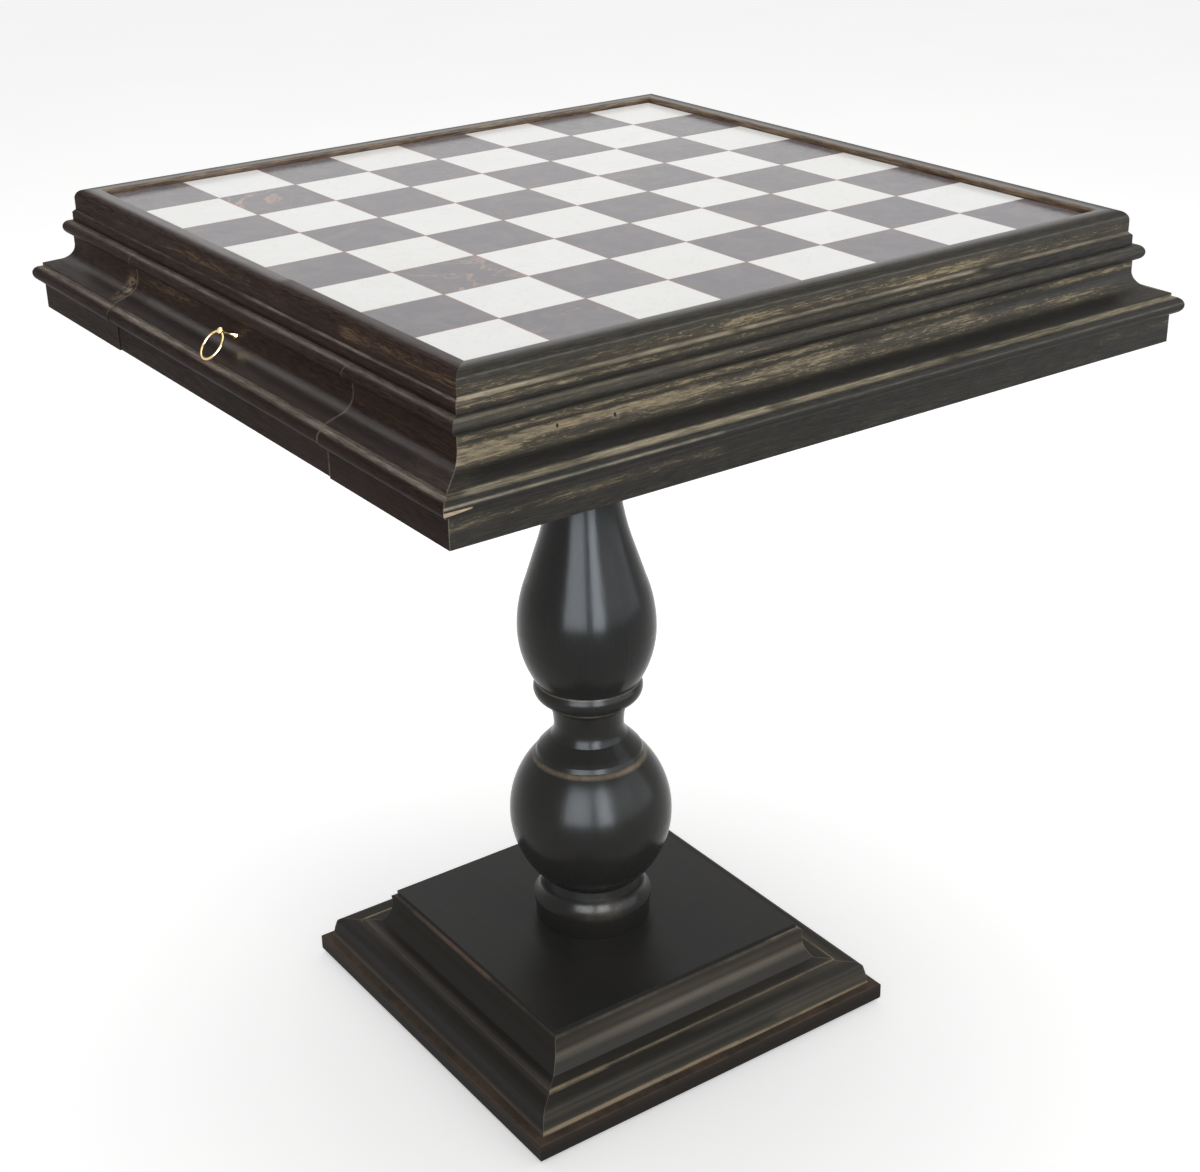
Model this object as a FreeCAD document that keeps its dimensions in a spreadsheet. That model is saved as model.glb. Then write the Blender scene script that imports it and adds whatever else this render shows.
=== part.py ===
import FreeCAD, Part
import math
import os
import Sketcher
from FreeCAD import Placement, Rotation, Vector

# Pedestal chess table: a stone board set in a moulded case with one drawer,
# on a turned column and a square stepped base.  Millimetres, +Z up, origin on
# the floor at the centre of the base, drawer towards -Y.

DIMENSIONS = (
    # stone board
    ("square_side", 60.0, "side of one playing square"),
    ("tile_thick", 10.0, "thickness of the stone squares"),
    ("tile_joint", 0.2, "open joint between two squares"),
    ("backing_thick", 7.9, "panel under the stone squares"),
    ("board_gap", 0.8, "gap between the stone and the frame rails"),
    # deck under the board, with its half-round nosing
    ("deck_base", 602.8, "height of the deck's underside"),
    ("deck_thick", 10.4, "thickness of the deck and its nosing"),
    ("nosing_body", 259.6, "half width where the nosing starts to round"),
    ("nosing_inner", 228.0, "half width of the plywood deck inside the nosing"),
    # frame rails round the stone
    ("rail_crown", 635.4, "height of the top of the rails"),
    ("rail_face", 256.4, "half width of the rails' upper face"),
    ("rail_foot", 258.5, "half width of the rails' foot"),
    ("foot_crown", 619.2, "top of the upright part of the foot"),
    ("foot_slope", 621.2, "top of the foot's small bevel"),
    ("rail_round", 6.5, "radius of the rails' outer top edge"),
    ("rail_ease", 1.8, "radius of the rails' inner top edge"),
    # case mouldings
    ("case_floor", 548.1, "height of the case's lower edge"),
    ("case_inner", 240.0, "half width inside the case"),
    ("fascia_half", 278.2, "half width of the lower fascia"),
    ("bead_low", 567.4, "where the large bead leaves the fascia"),
    ("bead_radius", 5.7, "radius of the large bead"),
    ("bead_step", 0.7, "flat on either side of the bead"),
    ("lip_half", 278.2, "half width of the lip over the bead"),
    ("lip_crown", 581.3, "top edge of the lip"),
    ("shelf_half", 267.9, "half width where the hollow starts to turn up"),
    ("shelf_rise", 584.5, "height where the hollow starts to turn up"),
    ("hollow_half", 259.4, "half width where the hollow ends upright"),
    ("hollow_crown", 596.0, "height where the hollow ends upright"),
    ("hollow_radius", 12.0, "radius of the hollow"),
    # drawer
    ("drawer_half", 147.8, "half width of the drawer front"),
    ("drawer_gap", 0.7, "gap round the drawer front"),
    ("drawer_recess", 0.5, "how far the drawer front sits back"),
    ("front_inner", 242.5, "back of the drawer front, before it is set back"),
    ("side_thick", 9.0, "drawer sides and back"),
    ("side_half", 144.0, "half width over the drawer sides"),
    ("side_low", 562.1, "lower edge of the drawer sides"),
    ("side_crown", 596.8, "top edge of the drawer sides"),
    ("drawer_depth", 380.0, "length of the drawer sides"),
    ("tray_thick", 4.0, "plywood drawer bottom"),
    ("tray_low", 566.1, "underside of the drawer bottom"),
    ("groove_deep", 4.0, "how far the drawer bottom enters the sides"),
    # inside the case
    ("panel_low", 550.7, "underside of the case bottom"),
    ("panel_thick", 11.0, "case bottom"),
    ("guide_wide", 18.0, "width of the drawer guides"),
    ("guide_tall", 24.0, "height of the drawer guides"),
    ("guide_gap", 1.0, "gap between drawer side and guide"),
    ("kicker_tall", 5.4, "height of the kickers over the drawer sides"),
    ("stop_long", 16.0, "length of the drawer stops"),
    ("drawer_travel", 300.0, "how far the drawer pulls out"),
    ("block_leg", 42.0, "leg of the triangular corner blocks"),
    # ring pull
    ("pull_half", 259.5, "distance of the pull's seat from the centre"),
    ("pull_rise", 592.3, "height of the pull's seat"),
    ("pull_tilt", 26.0, "upward tilt of the pull, degrees"),
    ("eye_reach", 11.1, "seat to the centre of the eye"),
    ("rosette_radius", 2.7, "foot of the pull"),
    ("waist_radius", 0.9, "waist of the pull"),
    ("ball_radius", 2.45, "ball that holds the ring"),
    ("eye_radius", 1.2, "hole through the ball"),
    ("eye_drop", 0.55, "how far that hole lies below the ball's middle"),
    ("ring_radius", 9.8, "centre line radius of the ring"),
    ("wire_radius", 0.8, "radius of the ring's wire"),
    ("ring_lean", 41.3, "ring's lean out from straight down, degrees"),
    ("stud_radius", 1.5, "threaded stud of the pull"),
    ("stud_long", 23.0, "length of the stud behind the seat"),
    ("nut_radius", 3.5, "round nut inside the drawer"),
    ("nut_thick", 2.6, "thickness of the nut"),
    # column
    ("column_foot", 66.0, "height of the base's top"),
    ("disc_radius", 45.0, "low disc under the column"),
    ("disc_crown", 81.0, "top of the low disc"),
    ("flange_radius", 46.3, "widest part of the foot"),
    ("ball_half", 62.7, "radius of the column's ball"),
    ("ball_middle", 158.0, "height of the ball's widest part"),
    ("ball_curve", 74.0, "profile radius of the ball"),
    ("neck_radius", 26.6, "narrowest part between ball and vase"),
    ("vase_half", 52.1, "radius of the vase"),
    ("vase_middle", 315.0, "height of the vase's widest part"),
    ("plate_low", 529.2, "underside of the plate on top of the column"),
    ("plate_half", 85.0, "half width of that plate"),
    ("plate_bevel", 7.0, "bevel round its lower edge"),
    ("tenon_radius", 20.0, "round tenon on top of the column"),
    ("tenon_crown", 547.2, "top of the tenon"),
    ("screw_pitch", 62.0, "screws from the centre of the plate"),
    ("screw_radius", 2.4, "shank of the plate screws"),
    ("screw_head", 4.6, "head radius of the plate screws"),
    ("screw_long", 29.0, "length of the plate screws"),
    # base
    ("pad_thick", 1.5, "felt pads"),
    ("pad_radius", 15.0, "radius of the felt pads"),
    ("pad_pitch", 132.0, "felt pads from the centre"),
    ("plinth_half", 161.2, "half width of the plinth"),
    ("plinth_crown", 16.3, "top of the plinth"),
    ("plinth_ease", 3.0, "rounding of the plinth's lower edge"),
    ("plinth_worn", 1.5, "rounding of the plinth's upper edge"),
    ("base_inner", 98.0, "half width inside the base mouldings"),
    ("skirt_foot", 154.0, "half width of the lower base moulding"),
    ("skirt_upright", 26.0, "top of its upright part"),
    ("fillet_half", 135.2, "half width of its fillet"),
    ("fillet_low", 34.2, "foot of the fillet"),
    ("skirt_crown", 35.8, "top of the lower base moulding"),
    ("cavetto_foot", 123.7, "half width of the upper base moulding"),
    ("cavetto_head", 117.2, "half width at its top"),
    ("cavetto_crown", 60.5, "height of its top arris"),
    ("cavetto_radius", 31.0, "radius of its hollow"),
    ("top_half", 113.4, "half width of the base's top panel"),
    ("top_thick", 12.0, "thickness of the base's top panel"),
    ("top_bevel", 2.0, "height of the bevel beside the top panel"),
    ("block_half", 55.0, "half width of the block inside the base"),
    ("bolt_radius", 4.9, "shank of the column bolt"),
    ("bolt_hole", 5.5, "clearance hole for the bolt"),
    ("bolt_head", 8.0, "head of the column bolt"),
    ("bolt_head_tall", 5.0, "height of the bolt's head"),
    ("washer_radius", 14.0, "washer under the bolt's head"),
    ("washer_thick", 2.0, "thickness of that washer"),
    ("counterbore", 15.0, "radius of the pocket for head and washer"),
    ("counterbore_deep", 8.5, "depth of that pocket"),
    ("insert_radius", 8.0, "threaded insert in the column"),
    ("insert_long", 32.0, "length of the insert"),
)

HIGH = 5.0          # how far cutting shapes run past the piece they cut


class Size:
    """A length in mm together with the spreadsheet expression that gives it."""

    def __init__(self, value, text):
        self.value = value
        self.text = text

    def __add__(self, other):
        other = as_size(other)
        return Size(self.value + other.value, "(%s + %s)" % (self.text, other.text))

    def __sub__(self, other):
        other = as_size(other)
        return Size(self.value - other.value, "(%s - %s)" % (self.text, other.text))

    def __mul__(self, factor):
        return Size(self.value * factor, "(%s * %r)" % (self.text, factor))

    def __neg__(self):
        return self * -1.0


def as_size(number):
    """A plain number as a Size."""
    if isinstance(number, Size):
        return number
    return Size(float(number), repr(float(number)))


def make_sheet():
    """The spreadsheet with every driving dimension."""
    sheet = doc.addObject("Spreadsheet::Sheet", "dims")
    for row, (alias, value, note) in enumerate(DIMENSIONS, start=1):
        sheet.set("A%d" % row, note)
        sheet.set("B%d" % row, repr(value))
        sheet.setAlias("B%d" % row, alias)
    doc.recompute()
    return sheet


def dim(alias):
    """One driving dimension, read from the spreadsheet."""
    return Size(float(sheet.get(alias)), "dims." + alias)


def bind(target, name, size):
    """Set a property of an object and tie it to the spreadsheet."""
    size = as_size(size)
    setattr(target, name, size.value)
    target.setExpression(name, size.text)


def place(target, x, y, z):
    """Put an object at (x, y, z), tied to the spreadsheet."""
    x, y, z = as_size(x), as_size(y), as_size(z)
    target.Placement = Placement(Vector(x.value, y.value, z.value), Rotation())
    for axis, size in (("x", x), ("y", y), ("z", z)):
        target.setExpression(".Placement.Base." + axis, size.text)


# --------------------------------------------------------------- sketches

def origin_plane(body, role):
    """One of a body's own origin planes."""
    for feature in body.Origin.OriginFeatures:
        if feature.Role == role:
            return feature


def new_body(label):
    body = doc.addObject("PartDesign::Body", label)
    body.Label = label
    return body


def new_sketch(body, role):
    sketch = body.newObject("Sketcher::SketchObject", body.Label + "_sketch")
    sketch.AttachmentSupport = [(origin_plane(body, role), "")]
    sketch.MapMode = "FlatFace"
    return sketch


def pin(sketch, edge, end, x, y):
    """Fix one end of an edge at (x, y) from the sketch's origin."""
    for kind, size, axis in (("DistanceX", x, -2), ("DistanceY", y, -1)):
        if abs(size.value) < 1e-9:
            sketch.addConstraint(Sketcher.Constraint("PointOnObject", edge, end, axis))
            continue
        rule = Sketcher.Constraint(kind, -1, 1, edge, end, size.value)
        number = sketch.addConstraint(rule)
        sketch.setExpression("Constraints[%d]" % number, size.text)


def line_to(x, y):
    """A straight edge of an outline, to (x, y)."""
    return as_size(x), as_size(y), None


def arc_to(x, y, radius):
    """A round edge to (x, y); a positive radius bulges to the right of travel."""
    return as_size(x), as_size(y), as_size(radius)


def arc_middle(start, stop, radius):
    """The middle point of the shorter arc from start to stop."""
    chord = stop - start
    half = chord.Length / 2
    sag = abs(radius) - math.sqrt(max(radius * radius - half * half, 0.0))
    side = Vector(chord.y, -chord.x, 0).normalize()
    return (start + stop) * 0.5 + side * math.copysign(sag, radius)


def add_outline(sketch, outline):
    """Add one closed outline, fully constrained, to a sketch."""
    count = len(outline)
    corners = [Vector(x.value, y.value, 0) for x, y, radius in outline]
    first = sketch.GeometryCount
    for i, (x, y, radius) in enumerate(outline):
        start = corners[i - 1]
        stop = corners[i]
        if radius is None:
            sketch.addGeometry(Part.LineSegment(start, stop), False)
        else:
            middle = arc_middle(start, stop, radius.value)
            sketch.addGeometry(Part.Arc(start, middle, stop), False)
    begins, ends = zip(*[edge_ends(sketch, first + i, corners[i]) for i in range(count)])
    for i, (x, y, radius) in enumerate(outline):
        edge = first + i
        before = first + (i - 1) % count
        rule = Sketcher.Constraint("Coincident", edge, begins[i], before, ends[i - 1])
        sketch.addConstraint(rule)
        pin(sketch, edge, ends[i], x, y)
        if radius is not None:
            rule = Sketcher.Constraint("Radius", edge, abs(radius.value))
            number = sketch.addConstraint(rule)
            sketch.setExpression("Constraints[%d]" % number, "abs(%s)" % radius.text)


def edge_ends(sketch, edge, stop):
    """Which vertex of an edge is its start and which its stop: (1, 2) or (2, 1)."""
    gap = sketch.getPoint(edge, 2) - stop
    return (1, 2) if gap.Length < 1e-6 else (2, 1)


def add_circle(sketch, x, y, radius):
    x, y, radius = as_size(x), as_size(y), as_size(radius)
    centre = Vector(x.value, y.value, 0)
    edge = sketch.addGeometry(Part.Circle(centre, Vector(0, 0, 1), radius.value), False)
    pin(sketch, edge, 3, x, y)
    number = sketch.addConstraint(Sketcher.Constraint("Radius", edge, radius.value))
    sketch.setExpression("Constraints[%d]" % number, radius.text)


def rectangle(left, low, right, high):
    """The outline of an upright rectangle."""
    return [line_to(left, low), line_to(right, low), line_to(right, high), line_to(left, high)]


# --------------------------------------------------------------- features

def add_pad(body, sketch, length, side="One side"):
    pad = body.newObject("PartDesign::Pad", body.Label + "_pad")
    pad.Profile = sketch
    pad.SideType = side
    bind(pad, "Length", length)
    doc.recompute()
    return pad


def add_pocket(body, sketch, depth, side="Symmetric", reversed_cut=False):
    """Cut a sketch out of a body, and make sure that it did cut."""
    before = body.Shape.Volume
    pocket = body.newObject("PartDesign::Pocket", body.Label + "_pocket")
    pocket.Profile = sketch
    pocket.SideType = side
    pocket.Reversed = reversed_cut
    bind(pocket, "Length", depth)
    body.Tip = pocket
    doc.recompute()
    if not body.Shape.Volume < before - 1e-3:
        raise RuntimeError("pocket cuts nothing in " + body.Label)
    return pocket


def dress_edges(body, kind, name, level, size):
    """Round or bevel the straight edges of a board that lie at one level of its own."""
    base = body.Tip
    edges = []
    for number, edge in enumerate(base.Shape.Edges, start=1):
        bounds = edge.BoundBox
        flat = bounds.ZLength < 1e-6 and abs(bounds.ZMin - level) < 1e-6
        if flat and len(edge.Vertexes) == 2:
            edges.append("Edge%d" % number)
    dressing = body.newObject(kind, body.Label + "_edges")
    dressing.Base = (base, edges)
    bind(dressing, name, size)
    body.Tip = dressing
    doc.recompute()


def add_revolution(body, sketch):
    spin = body.newObject("PartDesign::Revolution", body.Label + "_revolution")
    spin.Profile = sketch
    spin.ReferenceAxis = (sketch, ["V_Axis"])
    spin.Angle = 360.0
    doc.recompute()
    return spin


def turned(label, outline):
    """A body turned about its own Z axis from an outline in radius and height."""
    body = new_body(label)
    sketch = new_sketch(body, "XZ_Plane")
    add_outline(sketch, outline)
    add_revolution(body, sketch)
    return body


def box(label, low, high):
    """A plain rectangular board between two corners."""
    board = doc.addObject("Part::Box", label)
    board.Label = label
    for name, start, stop in zip(("Length", "Width", "Height"), low, high):
        bind(board, name, as_size(stop) - as_size(start))
    place(board, *low)
    return board


def plate(label, half_x, half_y, low, thick, holes):
    """A rectangular board centred on Z, with round holes (x, y, radius) through it."""
    body = new_body(label)
    sketch = new_sketch(body, "XY_Plane")
    add_outline(sketch, rectangle(-half_x, -half_y, half_x, half_y))
    for x, y, radius in holes:
        add_circle(sketch, x, y, radius)
    add_pad(body, sketch, thick)
    place(body, 0, 0, low)
    return body


def moulding_bar(label, outline, reach, waste):
    """A moulded bar along Y with its profile in X and Z, cut by waste outlines in plan."""
    body = new_body(label)
    profile = new_sketch(body, "XZ_Plane")
    add_outline(profile, outline)
    add_pad(body, profile, reach * 2, "Symmetric")
    cut = new_sketch(body, "XY_Plane")
    for piece in waste:
        add_outline(cut, piece)
    add_pocket(body, cut, dim("rail_crown") * 2 + HIGH)
    return body


def mitre_waste(inner, outer, end):
    """The waste beyond a 45 degree mitre: end is 1 for the +Y end and -1 for the -Y end."""
    near = inner - HIGH
    far = outer + HIGH
    return [line_to(near, near * end), line_to(far, far * end), line_to(near, far * end)]


def square_waste(inner, outer, start, stop):
    """The waste beyond a square cut, between two places along the bar."""
    return rectangle(inner - HIGH, start, outer + HIGH, stop)


def turn_to(body, side):
    """Turn a bar that was made for the +X side to the side it belongs to."""
    quarter = {"right": 0, "back": 90, "left": 180, "front": 270}[side]
    body.Placement = Placement(Vector(), Rotation(Vector(0, 0, 1), quarter))


def mitred_frame(name, sides, outline, inner, outer):
    """Bars with mitred ends, one for each named side."""
    bars = []
    for side in sides:
        waste = [mitre_waste(inner, outer, end) for end in (1, -1)]
        bar = moulding_bar("%s_%s" % (name, side), outline, outer, waste)
        turn_to(bar, side)
        bars.append(bar)
    return bars


ALL_SIDES = ("right", "back", "left", "front")


# --------------------------------------------------------------- stone board

def board_levels():
    """Heights of the backing's underside, the stone's underside and the stone's top."""
    backing = dim("deck_base") + dim("deck_thick")
    stone = backing + dim("backing_thick")
    return backing, stone, stone + dim("tile_thick")


def squares(label, light):
    """Thirty-two separate stone squares of one colour, laid as on a chess board."""
    side = dim("square_side")
    joint = dim("tile_joint")
    backing, low, high = board_levels()
    tiles = []
    for column in range(8):
        for row in range(8):
            # a light square lies in the right-hand corner nearest the drawer
            if ((column + row) % 2 == 1) != light:
                continue
            x = side * (column - 4) + joint * 0.5
            y = side * (row - 4) + joint * 0.5
            far_x = x + side - joint
            far_y = y + side - joint
            name = "%s_%d_%d" % (label, column, row)
            tiles.append(box(name, (x, y, low), (far_x, far_y, high)))
    group = doc.addObject("Part::Compound", label)
    group.Label = label
    group.Links = tiles
    return group


def board_backing():
    half = dim("square_side") * 4
    low, high, top = board_levels()
    return box("board_backing", (-half, -half, low), (half, half, high))


def frame_rails():
    """Four mitred rails round the stone, with a stepped foot and a rounded top edge."""
    inner = dim("square_side") * 4 + dim("board_gap")
    face = dim("rail_face")
    foot = dim("rail_foot")
    crown = dim("rail_crown")
    low = dim("deck_base") + dim("deck_thick")
    curve = dim("rail_round")
    ease = dim("rail_ease")
    outline = [
        line_to(inner, low),
        line_to(foot, low),
        line_to(foot, dim("foot_crown")),
        line_to(face, dim("foot_slope")),
        line_to(face, crown - curve),
        arc_to(face - curve, crown, curve),
        line_to(inner + ease, crown),
        arc_to(inner, crown - ease, ease),
    ]
    return mitred_frame("rail", ALL_SIDES, outline, inner, foot)


# --------------------------------------------------------------- deck

def nosing_bars():
    """Four mitred half-round nosings round the deck."""
    inner = dim("nosing_inner")
    start = dim("nosing_body")
    low = dim("deck_base")
    radius = dim("deck_thick") * 0.5
    outline = [
        line_to(inner, low),
        line_to(start, low),
        arc_to(start + radius, low + radius, radius),
        arc_to(start, low + radius * 2, radius),
        line_to(inner, low + radius * 2),
    ]
    return mitred_frame("nosing", ALL_SIDES, outline, inner, start + radius)


def deck_panel():
    half = dim("nosing_inner")
    low = dim("deck_base")
    high = low + dim("deck_thick")
    return box("deck_panel", (-half, -half, low), (half, half, high))


# --------------------------------------------------------------- case

def case_outline(inner, low, high):
    """Fascia, bead, lip and hollow of the case, between two heights."""
    fascia = dim("fascia_half")
    lip = dim("lip_half")
    bead_low = dim("bead_low")
    bead = dim("bead_radius")
    root = fascia + dim("bead_step")
    hollow = dim("hollow_half")
    return [
        line_to(inner, low),
        line_to(fascia, low),
        line_to(fascia, bead_low),
        line_to(root, bead_low),
        arc_to(root + bead, bead_low + bead, bead),
        arc_to(root, bead_low + bead * 2, bead),
        line_to(lip, bead_low + bead * 2),
        line_to(lip, dim("lip_crown")),
        line_to(dim("shelf_half"), dim("shelf_rise")),
        arc_to(hollow, dim("hollow_crown"), -dim("hollow_radius")),
        line_to(hollow, high),
        line_to(inner, high),
    ]


def bead_reach():
    """Half width of the case over its large beads."""
    return dim("fascia_half") + dim("bead_step") + dim("bead_radius")


def case_mouldings():
    """The moulded sides of the case: three whole ones and two short ones in front."""
    inner = dim("case_inner")
    outer = bead_reach()
    outline = case_outline(inner, dim("case_floor"), dim("deck_base"))
    bars = mitred_frame("moulding", ("right", "back", "left"), outline, inner, outer)
    opening = dim("drawer_half") + dim("drawer_gap")
    beyond = outer + HIGH
    for name, end in (("moulding_front_right", 1), ("moulding_front_left", -1)):
        middle = square_waste(inner, outer, beyond * -end, opening * end)
        waste = [mitre_waste(inner, outer, end), middle]
        bar = moulding_bar(name, outline, outer, waste)
        turn_to(bar, "front")
        bars.append(bar)
    return bars


def case_bottom():
    """The board that closes the case from below, with pilot holes for the plate screws."""
    half = dim("case_inner")
    pilot = dim("screw_radius")
    holes = [(x, y, pilot) for x, y in screw_places()]
    return plate("case_bottom", half, half, dim("panel_low"), dim("panel_thick"), holes)


def corner_blocks():
    """Four triangular glue blocks, one in each corner of the case."""
    inner = dim("case_inner")
    leg = dim("block_leg")
    low = dim("panel_low") + dim("panel_thick")
    height = dim("deck_base") - low
    blocks = []
    for number, (sx, sy) in enumerate(((1, 1), (-1, 1), (-1, -1), (1, -1)), start=1):
        body = new_body("corner_block_%d" % number)
        sketch = new_sketch(body, "XY_Plane")
        corner = [line_to(inner * sx, inner * sy), line_to((inner - leg) * sx, inner * sy),
                  line_to(inner * sx, (inner - leg) * sy)]
        add_outline(sketch, corner)
        add_pad(body, sketch, height)
        place(body, 0, 0, low)
        blocks.append(body)
    group = doc.addObject("Part::Compound", "corner_blocks")
    group.Label = "corner_blocks"
    group.Links = blocks
    return group


def drawer_back_edge():
    """Where the drawer's back ends, along Y."""
    return dim("drawer_depth") - dim("front_inner") + dim("drawer_recess")


def drawer_guides():
    """Strips beside the drawer that keep it straight."""
    inner = dim("side_half") + dim("guide_gap")
    outer = inner + dim("guide_wide")
    low = dim("panel_low") + dim("panel_thick")
    high = low + dim("guide_tall")
    front = -dim("case_inner")
    back = drawer_back_edge()
    return [box("drawer_guide_right", (inner, front, low), (outer, back, high)),
            box("drawer_guide_left", (-outer, front, low), (-inner, back, high))]


def drawer_kickers():
    """Strips under the deck that stop the open drawer from tipping."""
    inner = dim("side_half") - dim("side_thick")
    outer = dim("side_half") + dim("guide_gap") + dim("guide_wide")
    high = dim("deck_base")
    low = high - dim("kicker_tall")
    front = -dim("case_inner")
    back = drawer_back_edge()
    return [box("drawer_kicker_right", (inner, front, low), (outer, back, high)),
            box("drawer_kicker_left", (-outer, front, low), (-inner, back, high))]


def drawer_stops():
    """One block behind the closed drawer, and one under the deck that its back meets."""
    half = dim("square_side") * 0.5
    low = dim("panel_low") + dim("panel_thick")
    back = drawer_back_edge() + 0.3
    rear = box("drawer_rear_stop", (-half, back, low),
               (half, back + dim("stop_long"), low + dim("guide_tall")))
    deck = dim("deck_base")
    catch = drawer_back_edge() - dim("side_thick") - dim("drawer_travel")
    front = box("drawer_front_stop", (-half, catch - dim("stop_long"), deck - dim("kicker_tall")),
                (half, catch, deck))
    return [rear, front]


# --------------------------------------------------------------- drawer

def pull_place():
    """Seat and direction of the ring pull on the drawer front."""
    tilt = math.radians(dim("pull_tilt").value)
    seat = Vector(0, -dim("pull_half").value, dim("pull_rise").value)
    along = Vector(0, -math.cos(tilt), math.sin(tilt))
    return seat, along


def pull_rotation():
    """Turns a piece made along +Z to lie along the pull."""
    return Rotation(Vector(1, 0, 0), 90.0 - dim("pull_tilt").value)


def pull_drill(name, radius, start, long):
    """A round cutter along the pull's axis, from start past the seat."""
    seat, along = pull_place()
    drill = doc.addObject("Part::Cylinder", name)
    bind(drill, "Radius", radius)
    bind(drill, "Height", long)
    drill.Placement = Placement(seat + along * start.value, pull_rotation())
    return drill


def drawer_front():
    """A length of the case moulding that closes the drawer, bored for its pull."""
    inner = dim("front_inner")
    outer = bead_reach()
    gap = dim("drawer_gap")
    outline = case_outline(inner, dim("case_floor") + gap, dim("deck_base") - gap)
    half = dim("drawer_half")
    beyond = outer + HIGH
    waste = [square_waste(inner, outer, half * end, beyond * end) for end in (1, -1)]
    bar = moulding_bar("drawer_front_bar", outline, outer, waste)
    turn_to(bar, "front")
    bar.Placement.Base.y = dim("drawer_recess").value
    bar.setExpression(".Placement.Base.y", "dims.drawer_recess")
    seat = pull_drill("pull_seat", dim("rosette_radius") + 0.2, as_size(0), dim("eye_reach"))
    bore = pull_drill("pull_bore", dim("stud_radius") + 0.1, -dim("stud_long"),
                      dim("stud_long") + HIGH)
    pocket = pull_drill("pull_nut_pocket", dim("nut_radius") + 0.5, -dim("stud_long") - HIGH,
                        nut_depth() + HIGH)
    tools = doc.addObject("Part::MultiFuse", "pull_cutters")
    tools.Shapes = [seat, bore, pocket]
    front = doc.addObject("Part::Cut", "drawer_front")
    front.Label = "drawer_front"
    front.Base = bar
    front.Tool = tools
    return front


def nut_depth():
    """Depth of the nut's pocket, measured from the end of the stud."""
    return dim("nut_thick") * 2.5


def drawer_side_outline(end):
    """Cross-section of a drawer side with the groove for the drawer bottom."""
    outer = dim("side_half") * end
    inner = (dim("side_half") - dim("side_thick")) * end
    groove = (dim("side_half") - dim("side_thick") + dim("groove_deep")) * end
    low = dim("side_low")
    high = dim("side_crown")
    tray = dim("tray_low")
    lid = tray + dim("tray_thick")
    return [line_to(outer, low), line_to(inner, low), line_to(inner, tray),
            line_to(groove, tray), line_to(groove, lid), line_to(inner, lid),
            line_to(inner, high), line_to(outer, high)]


def drawer_sides():
    """The two grooved sides of the drawer."""
    sides = []
    front = dim("drawer_recess") - dim("front_inner")
    for name, end in (("drawer_side_right", 1.0), ("drawer_side_left", -1.0)):
        body = new_body(name)
        sketch = new_sketch(body, "XZ_Plane")
        add_outline(sketch, drawer_side_outline(end))
        pad = add_pad(body, sketch, dim("drawer_depth"))
        pad.Reversed = True
        place(body, 0, front, 0)
        sides.append(body)
    return sides


def drawer_back():
    """The back of the drawer, a little taller than the sides so that it meets the stop."""
    half = dim("side_half") - dim("side_thick")
    back = drawer_back_edge()
    low = dim("tray_low") + dim("tray_thick")
    high = dim("deck_base") - dim("kicker_tall") * 0.5
    return box("drawer_back", (-half, back - dim("side_thick"), low), (half, back, high))


def drawer_bottom():
    half = dim("side_half") - dim("side_thick") + dim("groove_deep")
    low = dim("tray_low")
    front = dim("drawer_recess") - dim("front_inner")
    high = low + dim("tray_thick")
    return box("drawer_bottom", (-half, front, low), (half, drawer_back_edge(), high))


# --------------------------------------------------------------- ring pull

def pull_post():
    """Turned brass pull: threaded stud, conical rosette, waist and a ball with an eye."""
    stud = dim("stud_radius")
    waist = dim("waist_radius")
    reach = dim("eye_reach")
    ball = dim("ball_radius")
    collar = reach - ball - waist
    outline = [
        line_to(0, -dim("stud_long")),
        line_to(stud, -dim("stud_long")),
        line_to(stud, 0),
        line_to(dim("rosette_radius"), 0),
        line_to(dim("rosette_radius"), waist),
        arc_to(waist, collar * 0.7, -collar * 1.2),
        line_to(waist, collar),
        line_to(waist * 1.5, collar),
        line_to(waist * 1.5, reach - ball * 0.72),
        arc_to(ball, reach, ball),
        arc_to(0, reach + ball, ball),
    ]
    body = turned("pull_post", outline)
    hole = new_sketch(body, "YZ_Plane")
    add_circle(hole, -dim("eye_drop"), reach, dim("eye_radius"))
    add_pocket(body, hole, ball * 4)
    seat, along = pull_place()
    body.Placement = Placement(seat, pull_rotation())
    return body


def pull_nut():
    """Round nut on the stud, in its pocket inside the drawer front."""
    body = new_body("pull_nut")
    sketch = new_sketch(body, "XY_Plane")
    add_circle(sketch, 0, 0, dim("nut_radius"))
    add_circle(sketch, 0, 0, dim("stud_radius") + 0.1)
    add_pad(body, sketch, dim("nut_thick"))
    seat, along = pull_place()
    inside = dim("stud_long") - nut_depth() + dim("nut_thick")
    body.Placement = Placement(seat - along * inside.value, pull_rotation())
    return body


def pull_ring():
    """The ring, threaded through the eye and leaning out over the bead below."""
    ring = doc.addObject("Part::Torus", "pull_ring")
    ring.Label = "pull_ring"
    bind(ring, "Radius1", dim("ring_radius"))
    bind(ring, "Radius2", dim("wire_radius"))
    seat, along = pull_place()
    lean = math.radians(dim("ring_lean").value)
    below = Vector(0, -along.z, along.y)
    eye = seat + along * dim("eye_reach").value + below * dim("eye_drop").value
    down = Vector(0, -math.sin(lean), -math.cos(lean))
    tip = Rotation(Vector(1, 0, 0), -90.0 - dim("ring_lean").value)
    ring.Placement = Placement(eye + down * dim("ring_radius").value, tip)
    return ring


# --------------------------------------------------------------- column

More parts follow.
